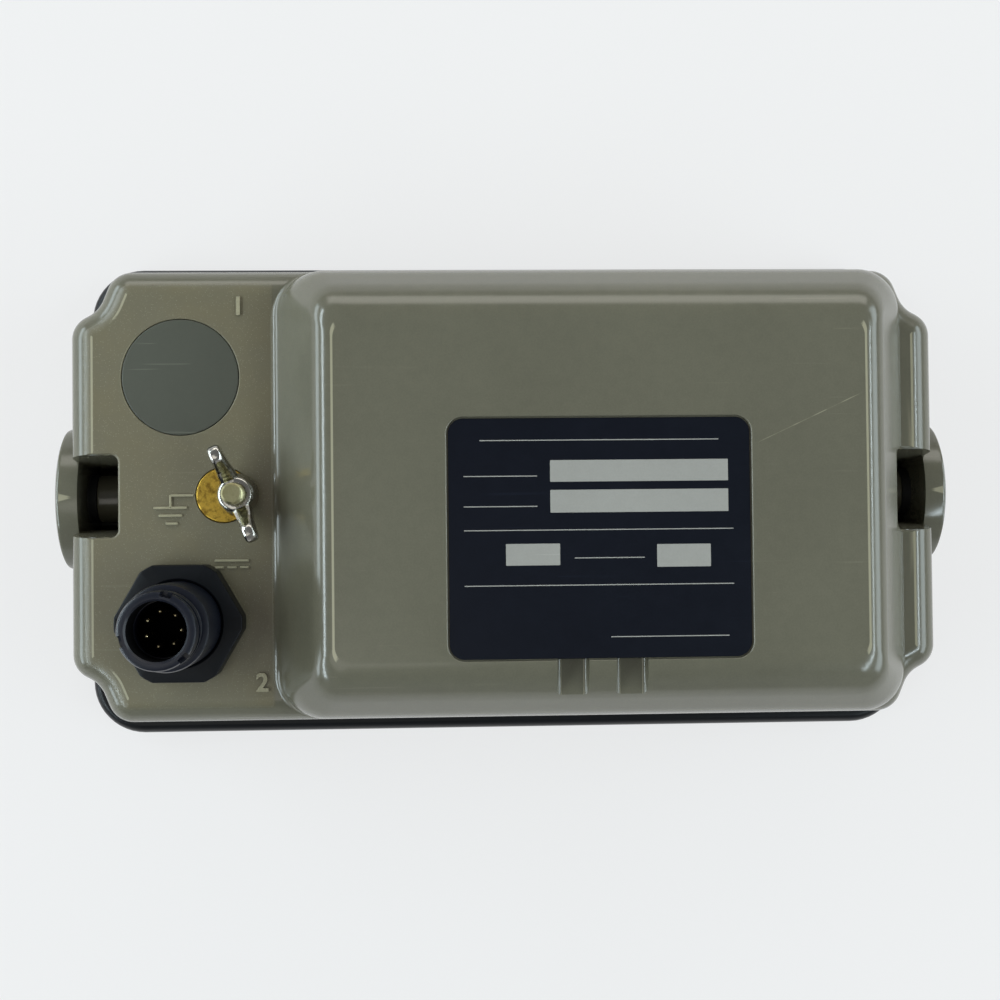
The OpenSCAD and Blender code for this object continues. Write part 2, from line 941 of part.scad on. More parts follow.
module main_board_screws() {
    color(steel_grey)
        at(main_screw_places)
            screw_down(board_screw_r, board_screw_len, board_screw_head_r, board_screw_head_t, main_top);
}

module main_board_chips() {
    color(rubber_black)
        translate([window_x, 0, 0]) {
            at(main_places([chip_share]))
                slab(chip_w / 2, chip_w / 2, chip_r, main_top, main_top + chip_t);
            at(main_places(memory_shares))
                box(-memory_w / 2, memory_w / 2, -memory_h / 2, memory_h / 2, main_top, main_top + memory_t);
        }
}

module shield_can() {
    color(steel_grey)
        translate([window_x, 0, 0])
            at(main_places([shield_share]))
                slab(shield_w / 2, shield_h / 2, chip_r, main_top, main_top + shield_t);
}

module backup_battery() {
    color(steel_grey)
        translate([window_x, 0, 0])
            at(main_places([battery_share]))
                rod(battery_r, main_top, main_top + battery_t);
}

// Power board, hung from the raised box
function power_places(shares) = [for (s = shares) [s[0] * power_board_x, s[1] * power_board_y]];
power_screw_x = power_board_x - power_post_in;
power_screw_y = power_board_y - power_post_down;
power_screw_places = [for (p = both_ways(power_screw_x, power_screw_y)) [plateau_x + p[0], p[1]]];

module power_board() {
    color(board_green)
        difference() {
            translate([plateau_x, 0, 0])
                box(-power_board_x, power_board_x, -power_board_y, power_board_y, power_z, power_top);
            at(power_screw_places)
                rod(board_screw_r + screw_slip, power_z - over, power_top + over);
        }
}

module power_board_screws() {
    length = board_screw_len + board_t;
    color(steel_grey)
        at(power_screw_places)
            screw_up(board_screw_r, length, board_screw_head_r, board_screw_head_t, power_z);
}

module power_board_parts() {
    color(rubber_black)
        translate([plateau_x, 0, 0]) {
            at(power_places([transformer_share]))
                slab(transformer_w / 2, transformer_h / 2, chip_r, power_top, power_top + transformer_t);
            at(power_places(inductor_shares))
                rod(inductor_r, power_top, power_top + inductor_t);
            at(power_places(capacitor_shares))
                rod(capacitor_r, power_top, power_top + capacitor_t);
        }
}

module link_cable() {
    strip_z = main_top + link_socket_t;
    socket_x = link_socket_h / 2;
    socket_y = link_socket_w / 2;
    color("gainsboro")
        translate([link_x, 0, 0]) {
            box(-socket_x, socket_x, -socket_y, socket_y, main_top, strip_z);
            box(-link_t / 2, link_t / 2, -link_w / 2, link_w / 2, strip_z, power_z - link_socket_t);
            box(-socket_x, socket_x, -socket_y, socket_y, power_z - link_socket_t, power_z);
        }
}

// Connector board, hung from the connector panel
io_screw_places = [
    [io_right - io_post_in, io_y - io_post_down],
    [io_right - io_post_in, -io_post_middle_down],
    [io_right - io_post_in, io_post_down - io_y],
    [io_left + io_post_corner_in, io_y - io_post_corner_down]
];

module io_board() {
    color(board_green)
        difference() {
            box(io_left, io_right, -io_y, io_y, io_z, io_top);
            at(io_screw_places)
                rod(board_screw_r + screw_slip, io_z - over, io_top + over);
        }
}

module io_board_posts() {
    color(brass_yellow)
        at(io_screw_places)
            difference() {
                hexagon(io_post_r, io_top, ceiling_z);
                rod(board_screw_r + fit, io_top - over, io_top + io_post_hole_d);
            }
}

module io_board_screws() {
    color(steel_grey)
        at(io_screw_places)
            screw_up(board_screw_r, board_screw_len, board_screw_head_r, board_screw_head_t, io_z);
}

module io_board_parts() {
    color(rubber_black) {
        translate([io_right - relay_in, relay_y, 0])
            box(-relay_w / 2, relay_w / 2, -relay_h / 2, relay_h / 2, io_top, io_top + relay_t);
        translate([io_right - choke_in, choke_y, 0])
            rod(choke_r, io_top, io_top + choke_t);
        translate([io_right - io_capacitor_in, choke_y, 0])
            rod(io_capacitor_r, io_top, io_top + io_capacitor_t);
    }
}

module buzzer() {
    color(rubber_black)
        translate([io_right - buzzer_in, -buzzer_down, 0])
            difference() {
                rod(buzzer_r, io_top, io_top + buzzer_t);
                rod(buzzer_hole_r, io_top + buzzer_t - buzzer_hole_d, io_top + buzzer_t + over);
            }
}

// A quarter bend of the wiring in the Y-Z plane, from straight down to level
module harness_bend(turn) {
    rotate([90, 0, 90])
        rotate([0, 0, turn])
            rotate_extrude(angle = 90)
                translate([harness_bend_r, 0])
                    circle(r = harness_r);
}

module harness() {
    color(rubber_black)
        translate([conn_x, 0, 0]) {
            translate([0, conn_y, 0]) {
                rod(harness_fan_r, harness_fan_z, pin_foot_z);
                rod(harness_r, harness_z + harness_bend_r, harness_fan_z);
            }
            translate([0, conn_y + harness_bend_r, harness_z + harness_bend_r])
                harness_bend(180);
            translate([0, conn_y + harness_bend_r, harness_z])
                rotate([-90, 0, 0])
                    cylinder(r = harness_r, h = harness_run - 2 * harness_bend_r);
            translate([0, plug_y - harness_bend_r, harness_z - harness_bend_r])
                harness_bend(0);
        }
}

module harness_plug() {
    color("ivory")
        translate([conn_x, plug_y, 0])
            box(-plug_w / 2, plug_w / 2, -plug_h / 2, plug_h / 2, io_top, plug_top);
}

// Rear cover
quarter_corners = [
    [shoulder_x - corner_in, body_y, corner_r],
    [shoulder_x - waist_in, body_y - waist_drop, waist_r],
    [shoulder_x, body_y - shoulder_drop, shoulder_r]
];
cover_corners = concat(
    quarter_corners,
    [for (i = [2 : -1 : 0]) [quarter_corners[i][0], -quarter_corners[i][1], quarter_corners[i][2]]],
    [for (c = quarter_corners) [-c[0], -c[1], c[2]]],
    [for (i = [2 : -1 : 0]) [-quarter_corners[i][0], quarter_corners[i][1], quarter_corners[i][2]]]
);
function body_profile(half, foot) = [
    [-half, foot, 0], [-half, panel_z, edge_r], [half, panel_z, edge_r], [half, foot, 0]
];
function plateau_reach(foot) = (plateau_z - foot) / tan(plateau_slope);
function plateau_profile_x(foot) = [
    [plateau_left - plateau_reach(foot), foot, 0],
    [plateau_left, plateau_z, edge_r],
    [plateau_right, plateau_z, edge_r],
    [plateau_right + plateau_reach(foot), foot, 0]
];
function plateau_profile_y(foot) = [
    [-body_y, foot, 0],
    [-body_y, plateau_bend_z, edge_r],
    [-plateau_y, plateau_z, edge_r],
    [plateau_y, plateau_z, edge_r],
    [body_y, plateau_bend_z, edge_r],
    [body_y, foot, 0]
];

module crossed_profiles(profile_x, profile_y, inset) {
    intersection() {
        prism_y(rounded_outline(inset_outline(profile_x, inset)), -frame_y, frame_y);
        prism_x(rounded_outline(inset_outline(profile_y, inset)), -frame_x, frame_x);
    }
}

// The cover's outer form, or with an inset its hollow, which opens below its foot
module cover_form(inset) {
    low = cover_foot - 2 * inset;
    high = plateau_foot - inset;
    intersection() {
        prism_z(rounded_outline(inset_outline(cover_corners, inset)), low, plateau_z + over);
        union() {
            crossed_profiles(body_profile(shoulder_x, low), body_profile(body_y, low), inset);
            crossed_profiles(plateau_profile_x(high), plateau_profile_y(high), inset);
        }
    }
}

module both_sides() {
    children();
    mirror([1, 0, 0])
        children();
}

module notch_pocket() {
    outline = [
        [-notch_low_y, notch_floor], [-notch_low_y, notch_knee_z],
        [-notch_y, panel_z], [-notch_y, plateau_z],
        [notch_y, plateau_z], [notch_y, panel_z],
        [notch_low_y, notch_knee_z], [notch_low_y, notch_floor]
    ];
    prism_x(outline, notch_x, frame_x);
}

module notch_housing() {
    y = notch_y + notch_wall;
    box(notch_x - notch_wall, frame_x, -y, y, notch_floor - notch_wall, plateau_z);
}

module side_disc() {
    root = shoulder_x - disc_set;
    face = shoulder_x + disc_t;
    translate([0, 0, boss_z])
        rotate([0, 90, 0])
            rotate_extrude()
                polygon([
                    [0, root], [disc_r, root], [disc_r, face - disc_chamfer],
                    [disc_r - disc_chamfer, face], [0, face]
                ]);
}

groove_places = [
    for (side = [-1, 1]) [label_x + groove_shift + side * groove_pitch / 2, 0]
];

module groove_pad() {
    x = groove_pitch / 2 + groove_w / 2 + groove_pad_side;
    translate([label_x + groove_shift, 0, 0])
        box(-x, x, -frame_y, label_low_y, groove_z - groove_pad_t, plateau_z);
}

module cover_shell() {
    difference() {
        union() {
            slab(flange_x, flange_y, flange_r, cover_foot, flange_top);
            cover_form(0);
        }
        difference() {
            cover_form(wall);
            both_sides() notch_housing();
            groove_pad();
        }
        both_sides() notch_pocket();
    }
}

module rear_cover() {
    color(cover_grey)
        difference() {
            union() {
                cover_shell();
                both_sides() {
                    side_disc();
                    rod_x(boss_r, boss_start, boss_end, boss_z);
                }
                at(case_screw_places)
                    rod(case_boss_r, panel_back, panel_back + case_boss_h);
                at(power_screw_places)
                    rod(power_post_r, power_top, plateau_inner_z + wall / 2);
            }
            both_sides() {
                rod_x(insert_r + press_slip, boss_end - insert_len, boss_end + over, boss_z);
                rod_x(insert_thread_r + knob_slip, boss_end, frame_x + disc_t, boss_z);
            }
            at(case_screw_places)
                rod(screw_r + fit, panel_back - over, panel_back + case_hole_d);
            at(power_screw_places)
                rod(board_screw_r + fit, power_top - over, power_top + post_hole_d);
            translate([port_x, port_y, 0]) {
                rod(port_r + fit, panel_z - port_t, panel_z + over);
                rod(port_hole_r, ceiling_z - over, panel_z);
            }
            translate([conn_x, conn_y, 0])
                rod(collar_r + fit, ceiling_z - over, panel_z + over);
            translate([earth_plate_x, 0, 0])
                rod(earth_plate_r + fit, panel_z - earth_plate_set, panel_z + over);
            translate([stud_x, 0, 0])
                rod(stud_r + fit, ceiling_z - over, panel_z);
            translate([label_x, label_y, 0])
                slab(label_w / 2 + slip, label_h / 2 + slip, label_r + slip, label_z, plateau_z + over);
            at(groove_places)
                box(-groove_w / 2, groove_w / 2, -frame_y, label_low_y + over, groove_z, plateau_z + over);
        }
}

// Pieces on the rear cover
module bracket_insert() {
    color(brass_yellow)
        difference() {
            rod_x(insert_r, boss_end - insert_len, boss_end, boss_z);
            rod_x(insert_thread_r, boss_end - insert_len - over, boss_end + over, boss_z);
        }
}

module right_bracket_insert() {
    bracket_insert();
}

module left_bracket_insert() {
    mirror([1, 0, 0])
        bracket_insert();
}

module port_blank() {
    color(port_grey)
        translate([port_x, port_y, 0])
            difference() {
                union() {
                    rod(port_r, panel_z - port_t, panel_z);
                    rod(port_hole_r - fit, panel_z - port_t - port_spigot_len, panel_z - port_t);
                }
                tube(port_r - port_ring_w, port_r - 2 * port_ring_w, panel_z - port_ring_d, panel_z + over);
            }
}

module label_plate() {
    color(label_black)
        translate([label_x, label_y, 0])
            slab(label_w / 2, label_h / 2, label_r, label_z, label_z + label_t);
}

// Earth terminal
module earth_plate() {
    color(brass_yellow)
        difference() {
            translate([earth_plate_x, 0, 0])
                rod(earth_plate_r, earth_plate_top - earth_plate_t, earth_plate_top);
            translate([stud_x, 0, 0])
                rod(stud_r + fit, ceiling_z, panel_z + earth_plate_t);
        }
}

module earth_stud() {
    color(steel_grey)
        translate([stud_x, 0, 0]) {
            rod(stud_r, stud_foot, stud_lead_z);
            rod(stud_lead_r, stud_lead_z, stud_tip - stud_point);
            translate([0, 0, stud_tip - stud_point])
                cylinder(r1 = stud_lead_r, r2 = stud_lead_r - stud_point, h = stud_point);
        }
}

module earth_strap() {
    ring_r = stud_r + strap_ring_w;
    top = ceiling_z;
    color(brass_yellow)
        translate([stud_x, 0, 0])
            difference() {
                union() {
                    rod(ring_r, top - strap_t, top);
                    box(-strap_w / 2, strap_w / 2, 0, strap_drop_y, top - strap_t, top);
                    box(-strap_w / 2, strap_w / 2, strap_drop_y - strap_t, strap_drop_y, io_top, top);
                }
                rod(stud_r + fit, top - strap_t - over, top + over);
            }
}

module earth_inner_nut() {
    top = ceiling_z - strap_t;
    color(steel_grey)
        translate([stud_x, 0, 0])
            difference() {
                hexagon(stud_r + inner_nut_w, top - inner_nut_t, top);
                rod(stud_r + fit, top - inner_nut_t - over, top + over);
            }
}

module lock_washer() {
    color(steel_grey)
        translate([stud_x, 0, 0])
            tube(stud_r + washer_w, stud_r + washer_slip, washer_z, washer_z + washer_t);
}

module wing_nut() {
    span = wing_span / 2;
    wing = [for (s = wing_shares) [s[0] * span, s[1] * wing_h, s[2] * wing_h]];
    outline = rounded_outline([for (i = [len(wing) - 1 : -1 : 0]) wing[i]]);
    color(steel_grey)
        translate([stud_x, 0, wing_z])
            difference() {
                rotate([0, 0, wing_turn])
                    union() {
                        cylinder(r1 = stud_r + hub_w, r2 = stud_r + hub_top_w, h = hub_h);
                        both_sides()
                            prism_y(outline, -wing_t / 2, wing_t / 2);
                    }
                rod(stud_r + fit, -over, wing_h + over);
            }
}

// Connector
module at_connector() {
    translate([conn_x, conn_y, 0])
        children();
}

module connector_body() {
    entry_foot = mouth_ring_z - over;
    color(connector_navy)
        at_connector()
            difference() {
                rotate_extrude()
                    polygon([
                        [insert_bore_r, conn_tail_z], [conn_tail_r, conn_tail_z],
                        [conn_tail_r, conn_flange_z], [conn_flange_r, conn_flange_z],
                        [conn_flange_r, conn_flange_top],
                        [collar_r, conn_flange_top], [collar_r, collar_top - mouth_chamfer],
                        [collar_r - mouth_chamfer, collar_top], [neck_r, collar_top],
                        [neck_r, mouth_ring_z], [mouth_r, mouth_ring_z],
                        [mouth_r, mouth_z - mouth_chamfer], [mouth_r - mouth_chamfer, mouth_z],
                        [socket_r, mouth_z], [socket_r, socket_z], [insert_bore_r, socket_z]
                    ]);
                for (i = [0 : entry_count - 1])
                    rotate([0, 0, 90 + i * 360 / entry_count])
                        box(neck_r, mouth_r + over, -entry_w / 2, entry_w / 2, entry_foot, mouth_z + over);
            }
}

module connector_seal() {
    color(rubber_black)
        at_connector()
            tube(collar_r + seal_ring_w, collar_r + fit, conn_flange_top, ceiling_z);
}

module connector_nut() {
    corner = nut_af / 2 / cos(30);
    color(connector_navy)
        at_connector()
            difference() {
                intersection() {
                    hexagon(corner, panel_z, panel_z + nut_t);
                    rod(nut_af / 2 + nut_corner, panel_z - over, panel_z + nut_t + over);
                }
                rod(collar_r + fit, panel_z - over, panel_z + nut_t + over);
            }
}

function pin_angle(i) = pin_turn + i * 360 / pin_count;

module at_pins() {
    for (i = [0 : pin_count - 1])
        rotate([0, 0, pin_angle(i)])
            translate([pin_circle_r, 0, 0])
                children();
}

module connector_insert() {
    color("dimgray")
        at_connector()
            difference() {
                rod(insert_bore_r - fit, conn_tail_z + insert_set, insert_face_z);
                at_pins()
                    rod(pin_r + pin_slip, conn_tail_z, insert_face_z + over);
            }
}

module connector_pins() {
    color("gold")
        at_connector()
            at_pins()
                union() {
                    rod(pin_r, pin_foot_z, pin_tip_z - pin_r);
                    translate([0, 0, pin_tip_z - pin_r])
                        sphere(r = pin_r);
                }
}

front_frame();
case_gasket();
case_screws();
screw_caps();
window_seal();
display_window();
lcd_frame();
lcd_glass();
lcd_backlight();
lcd_screws();
keypad_mat();
keypad_board();
key_switches();
keypad_screws();
up_key();
down_key();
left_key();
right_key();
enter_key();
menu_key();
display_key();
power_key();
main_board();
main_board_spacers();
main_board_screws();
main_board_chips();
shield_can();
backup_battery();
power_board();
power_board_screws();
power_board_parts();
link_cable();
io_board();
io_board_posts();
io_board_screws();
io_board_parts();
buzzer();
harness();
harness_plug();
rear_cover();
left_bracket_insert();
right_bracket_insert();
port_blank();
label_plate();
earth_plate();
earth_stud();
earth_inner_nut();
earth_strap();
lock_washer();
wing_nut();
connector_body();
connector_seal();
connector_nut();
connector_insert();
connector_pins();
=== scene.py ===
"""Dresses the display unit of a satellite compass, lying face down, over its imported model."""
import sys

import logging
import math
from collections.abc import Iterator, Sequence
from contextlib import contextmanager
from dataclasses import dataclass, field
from enum import Enum
from functools import cache
from itertools import pairwise

import bmesh
import bpy
from mathutils import Matrix, Vector


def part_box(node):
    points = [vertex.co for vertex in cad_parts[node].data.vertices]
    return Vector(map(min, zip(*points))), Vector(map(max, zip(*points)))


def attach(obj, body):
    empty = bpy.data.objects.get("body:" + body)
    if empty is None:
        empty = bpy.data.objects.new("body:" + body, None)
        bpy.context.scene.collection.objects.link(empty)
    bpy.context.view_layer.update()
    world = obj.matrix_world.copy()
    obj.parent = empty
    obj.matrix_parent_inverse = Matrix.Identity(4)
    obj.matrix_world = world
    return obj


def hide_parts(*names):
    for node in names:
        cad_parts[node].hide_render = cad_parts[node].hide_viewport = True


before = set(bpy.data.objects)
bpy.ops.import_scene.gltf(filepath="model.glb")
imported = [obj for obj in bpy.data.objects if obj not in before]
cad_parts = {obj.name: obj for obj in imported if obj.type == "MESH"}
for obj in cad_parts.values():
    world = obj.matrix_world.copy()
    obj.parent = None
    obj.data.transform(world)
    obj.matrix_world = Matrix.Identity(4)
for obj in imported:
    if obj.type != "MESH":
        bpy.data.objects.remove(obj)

log = logging.getLogger("display_unit")

MM = 0.001
UNIT = "unit"

# Heights and places that sub-assemblies share, in millimetres
PANEL_Z = 43.0
PLATEAU_Z = 58.4
PORT_AT = (-63.0, 22.8)
STUD_AT = (-52.0, 0.0)
EARTH_PLATE_AT = (-54.8, 0.0)
CONNECTOR_AT = (-62.7, -24.3)
LABEL_AT = (16.2, -8.9)
SCREW_PLACES = ((71.3, 38.4), (24.0, 39.3))

Pair = tuple[float, float]
Triple = tuple[float, float, float]
Quad = tuple[float, float, float, float]
Flat = Pair
Place = Triple
Corner = Triple
Ring = list[Place]
Object = bpy.types.Object
Socket = bpy.types.NodeSocket


class Combine(Enum):
    """How a tool shape changes the shape that it meets."""

    ADD = "UNION"
    TAKE = "DIFFERENCE"
    KEEP = "INTERSECT"


class Side(Enum):
    """The two sides of the unit, as seen from behind."""

    LEFT = -1
    RIGHT = 1


# Outlines and curves

def arc_points(before: Sequence[float], at: Sequence[float], after: Sequence[float], radius: float,
               steps: int) -> list[Flat]:
    """Rounds one corner of an outline.

    Args:
        before: The corner before it.
        at: The corner itself.
        after: The corner after it.
        radius: The radius of the rounding.
        steps: How many pieces the arc has.

    Returns:
        The points of the arc.
    """
    corner = Vector(at[:2])
    back = (Vector(before[:2]) - corner).normalized()
    ahead = (Vector(after[:2]) - corner).normalized()
    half = math.acos(max(-1.0, min(1.0, back.dot(ahead)))) / 2
    centre = corner + (back + ahead).normalized() * radius / math.sin(half)
    first = corner + back * radius / math.tan(half) - centre
    last = corner + ahead * radius / math.tan(half) - centre
    start = math.atan2(first.y, first.x)
    sweep = (math.atan2(last.y, last.x) - start + math.pi) % math.tau - math.pi
    angles = [start + sweep * i / steps for i in range(steps + 1)]
    return [(centre.x + radius * math.cos(a), centre.y + radius * math.sin(a)) for a in angles]


def rounded(corners: Sequence[Corner], steps: int = 8) -> list[Flat]:
    """Rounds the corners of an outline.

    Args:
        corners: Each corner's two coordinates and radius.
        steps: How many pieces each arc has.

    Returns:
        The points of the rounded outline.
    """
    points: list[Flat] = []
    for i, corner in enumerate(corners):
        if corner[2] > 0:
            points += arc_points(corners[i - 1], corner, corners[(i + 1) % len(corners)], corner[2], steps)
        else:
            points.append((corner[0], corner[1]))
    return points


def inset(corners: Sequence[Corner], width: float) -> list[Corner]:
    """Moves every side of a clockwise outline inwards.

    Args:
        corners: Each corner's two coordinates and radius.
        width: How far each side moves.

    Returns:
        The corners of the smaller outline, with as many rounded corners as before.
    """
    smallest = 0.05
    moved: list[Corner] = []
    for i, (x, y, radius) in enumerate(corners):
        here = Vector((x, y))
        come = (here - Vector(corners[i - 1][:2])).normalized()
        leave = (Vector(corners[(i + 1) % len(corners)][:2]) - here).normalized()
        normal_in = Vector((come.y, -come.x))
        normal_out = Vector((leave.y, -leave.x))
        turn = come.x * leave.y - come.y * leave.x
        place = here + (normal_in + normal_out) * width / (1 + normal_in.dot(normal_out))
        changed = radius - width if turn < 0 else radius + width
        moved.append((place.x, place.y, max(changed, smallest) if radius > 0 else 0.0))
    return moved


def rectangle(half_x: float, half_y: float, radius: float, at: Flat = (0, 0)) -> list[Corner]:
    """Lists the corners of a rectangle, clockwise."""
    x, y = at
    return [(x - half_x, y - half_y, radius), (x - half_x, y + half_y, radius),
            (x + half_x, y + half_y, radius), (x + half_x, y - half_y, radius)]


def level(outline: Sequence[Flat], z: float) -> Ring:
    """Lays an outline flat at one height."""
    return [(x, y, z) for x, y in outline]


def quarter_turn(steps: int) -> list[float]:
    """Divides a quarter of a turn into equal steps, in radians."""
    return [math.radians(90 * i / steps) for i in range(steps + 1)]


def on_circle(at: Flat, radius: float, angle: float) -> Flat:
    """Gives the place on a circle at an angle in radians."""
    return at[0] + radius * math.cos(angle), at[1] + radius * math.sin(angle)


def in_four_corners(places: Sequence[Flat]) -> list[Flat]:
    """Mirrors each place into all four quarters of the unit."""
    return [(sx * x, sy * y) for x, y in places for sx in (-1, 1) for sy in (-1, 1)]


def soft_min(a: float, b: float, blend: float) -> float:
    """Takes the smaller of two numbers, with a smooth change between them."""
    share = max(0.0, min(1.0, 0.5 + 0.5 * (b - a) / blend))
    return b * (1 - share) + a * share - blend * share * (1 - share)


# Making and changing meshes

def make_active(obj: Object) -> None:
    """Selects one object and nothing else.

    Args:
        obj: The object that is left selected and active.
    """
    for other in bpy.context.selected_objects:
        other.select_set(False)
    obj.select_set(True)
    bpy.context.view_layer.objects.active = obj


@contextmanager
def editing(obj: Object) -> Iterator[None]:
    """Puts an object in edit mode for as long as the block lasts.

    Args:
        obj: The object.

    Yields:
        Nothing. The object is in edit mode meanwhile.
    """
    make_active(obj)
    bpy.ops.object.mode_set(mode="EDIT")
    try:
        yield
    finally:
        bpy.ops.object.mode_set(mode="OBJECT")


def metres(place: Sequence[float]) -> Vector:
    """Turns a place in millimetres into metres."""
    return Vector(place) * MM


def outline_piece(name: str, ring: Ring, filled: bool) -> Object:
    """Starts a piece from a circle whose points are moved onto a ring.

    Args:
        name: The piece's name.
        ring: The ring's places, in millimetres.
        filled: Whether the ring gets a face.

    Returns:
        The new object.
    """
    bpy.ops.mesh.primitive_circle_add(vertices=len(ring), fill_type="NGON" if filled else "NOTHING")
    obj = bpy.context.object
    obj.name = name
    for vertex, place in zip(obj.data.vertices, ring):
        vertex.co = metres(place)
    return obj


def raise_cap(obj: Object, before: Ring, after: Ring) -> None:
    """Extrudes the selected cap and moves its corners onto the next ring.

    Args:
        obj: The piece, in edit mode, with its cap selected.
        before: The ring that the cap lies on.
        after: The ring that it moves to.
    """
    bpy.ops.mesh.extrude_region_move()
    mesh = bmesh.from_edit_mesh(obj.data)
    cap = next(face for face in mesh.faces if face.select)
    corners = [loop.vert for loop in cap.loops]
    count = len(corners)
    first, second = metres(before[0]), metres(before[1])
    start = min(range(count), key=lambda i: (corners[i].co - first).length)
    ahead = (corners[(start + 1) % count].co - second).length
    behind = (corners[start - 1].co - second).length
    step = 1 if ahead < behind else -1
    for i, place in enumerate(after):
        corners[(start + step * i) % count].co = metres(place)
    bmesh.update_edit_mesh(obj.data)


def loft(name: str, rings: Sequence[Ring]) -> Object:
    """Builds a closed solid through rings of equal counts.

    Args:
        name: The piece's name.
        rings: The rings, in order, in millimetres.

    Returns:
        The new object.
    """
    obj = outline_piece(name, rings[0], filled=True)
    with editing(obj):
        bpy.ops.mesh.select_all(action="SELECT")
        for before, after in pairwise(rings):
            raise_cap(obj, before, after)
        bpy.ops.mesh.select_all(action="SELECT")
        bpy.ops.mesh.normals_make_consistent(inside=False)
    return obj


def prism(name: str, outline: Sequence[Flat], low: float, high: float) -> Object:
    """Extrudes an outline from one height to another."""
    return loft(name, [level(outline, low), level(outline, high)])


def stacked(name: str, corners: Sequence[Corner], layers: Sequence[Flat], steps: int = 8) -> Object:
    """Builds a solid from one outline, which is set in by a width of its own at each height.

    Args:
        name: The piece's name.
        corners: Each corner's two coordinates and radius.
        layers: The width and the height of each layer, in order.
        steps: How many pieces each rounded corner has.

    Returns:
        The new object.
    """
    return loft(name, [level(rounded(inset(corners, width) if width else corners, steps), z)
                       for width, z in layers])


def turned(name: str, profile: Sequence[Flat], at: Flat = (0, 0), segments: int = 96) -> Object:
    """Spins a closed profile round an upright line.

    Args:
        name: The piece's name.
        profile: Radius and height of each of its corners, in millimetres.
        at: Where the line stands.
        segments: How many steps the turn has.

    Returns:
        The new object.
    """
    same_place = 0.002 * MM
    ring = [(at[0] + radius, at[1], z) for radius, z in profile]
    obj = outline_piece(name, ring, filled=False)
    with editing(obj):
        bpy.ops.mesh.select_all(action="SELECT")
        bpy.ops.mesh.spin(steps=segments, angle=math.tau, center=metres((*at, 0)), axis=(0, 0, 1))
        bpy.ops.mesh.select_all(action="SELECT")
        bpy.ops.mesh.remove_doubles(threshold=same_place)
        bpy.ops.mesh.delete_loose()
        bpy.ops.mesh.select_all(action="SELECT")
        bpy.ops.mesh.normals_make_consistent(inside=False)
    return obj


def rod(name: str, radius: float, low: float, high: float, at: Flat = (0, 0), chamfer: float = 0.0,
        segments: int = 64) -> Object:
    """Turns a plain rod, with its upper edge broken where a chamfer is given.

    Args:
        name: The piece's name.
        radius: Its radius.
        low: The height where it starts.
        high: The height where it ends.
        at: Where it stands.
        chamfer: How far its upper edge is broken.
        segments: How many steps the turn has.

    Returns:
        The new object.
    """
    profile = [(0, low), (radius, low), (radius, high - chamfer), (radius - chamfer, high), (0, high)]
    if not chamfer:
        del profile[3]
    return turned(name, profile, at, segments)


def broken_rim(radius: float, top: float, size: float, middle: float) -> list[Flat]:
    """Lists the three corners of a rim that is broken by a size, with its middle corner set in less."""
    return [(radius, top - size), (radius - middle, top - middle), (radius - size, top)]


def tube(name: str, radii: Flat, low: float, high: float, at: Flat = (0, 0), segments: int = 96) -> Object:
    """Turns a plain tube, or a disc where the inner one of its two radii is 0."""
    inner, outer = radii
    return turned(name, [(inner, low), (outer, low), (outer, high), (inner, high)], at, segments)


def lay_along_x(obj: Object, height: float, side: Side) -> Object:
    """Turns an upright piece about the origin until it points to one side, at a height.

    Args:
        obj: The piece.
        height: The height of its middle line.
        side: The side that it points to.

    Returns:
        The same piece.
    """
    turn = Matrix.Rotation(math.radians(90 * side.value), 4, "Y")
    obj.data.transform(Matrix.Translation((0, 0, height * MM)) @ turn)
    return obj


def swung(obj: Object, angle: float, at: Flat, reach: float = 0.0) -> Object:
    """Moves a piece out along X, turns it about the upright line and sets that line on its place.

    Args:
        obj: The piece.
        angle: The turn, in radians.
        at: Where the upright line stands.
        reach: How far out it moves first.

    Returns:
        The same piece.
    """
    turn = Matrix.Rotation(angle, 4, "Z") @ Matrix.Translation(metres((reach, 0, 0)))
    obj.data.transform(Matrix.Translation(metres((*at, 0))) @ turn)
    return obj


def shifted(obj: Object, move: Sequence[float]) -> Object:
    """Moves a piece's mesh, in millimetres."""
    obj.data.transform(Matrix.Translation(metres(move)))
    return obj


def applied(obj: Object, kind: str, **settings: object) -> Object:
    """Adds a modifier with its settings and applies it.

    Args:
        obj: The piece.
        kind: The modifier's type.
        settings: The modifier's settings.

    Returns:
        The same piece.
    """
    modifier = obj.modifiers.new(kind.title(), kind)
    for name, value in settings.items():
        setattr(modifier, name, value)
    make_active(obj)
    bpy.ops.object.modifier_apply(modifier=modifier.name)
    return obj


def combined(target: Object, tool: Object, how: Combine) -> Object:
    """Changes a piece by a tool shape, which is used up.

    Args:
        target: The piece that changes.
        tool: The tool shape.
        how: Whether the tool is added, taken away, or kept where both are.

    Returns:
        The changed piece.

    Raises:
        RuntimeError: If most of the piece's faces are gone.
    """
    before = len(target.data.polygons)
    applied(target, "BOOLEAN", operation=how.value, object=tool, solver="EXACT")
    if len(target.data.polygons) < before / 3:
        raise RuntimeError(f"{target.name} lost its faces to {tool.name}")
    bpy.data.objects.remove(tool, do_unlink=True)
    return target


def cut(target: Object, *tools: Object) -> Object:
    """Takes tool shapes away from a piece, one after another.

    Args:
        target: The piece that changes.
        tools: The tool shapes, which are used up.

    Returns:
        The changed piece.
    """
    for tool in tools:
        combined(target, tool, Combine.TAKE)
    return target


def joined(name: str, parts: Sequence[Object]) -> Object:
    """Joins separate shapes into one piece.

    Args:
        name: The name of the whole.
        parts: The shapes, of which the first takes up the others.

    Returns:
        The joined piece.
    """
    make_active(parts[0])
    for part in parts:
        part.select_set(True)
    bpy.ops.object.join()
    parts[0].name = name
    return parts[0]


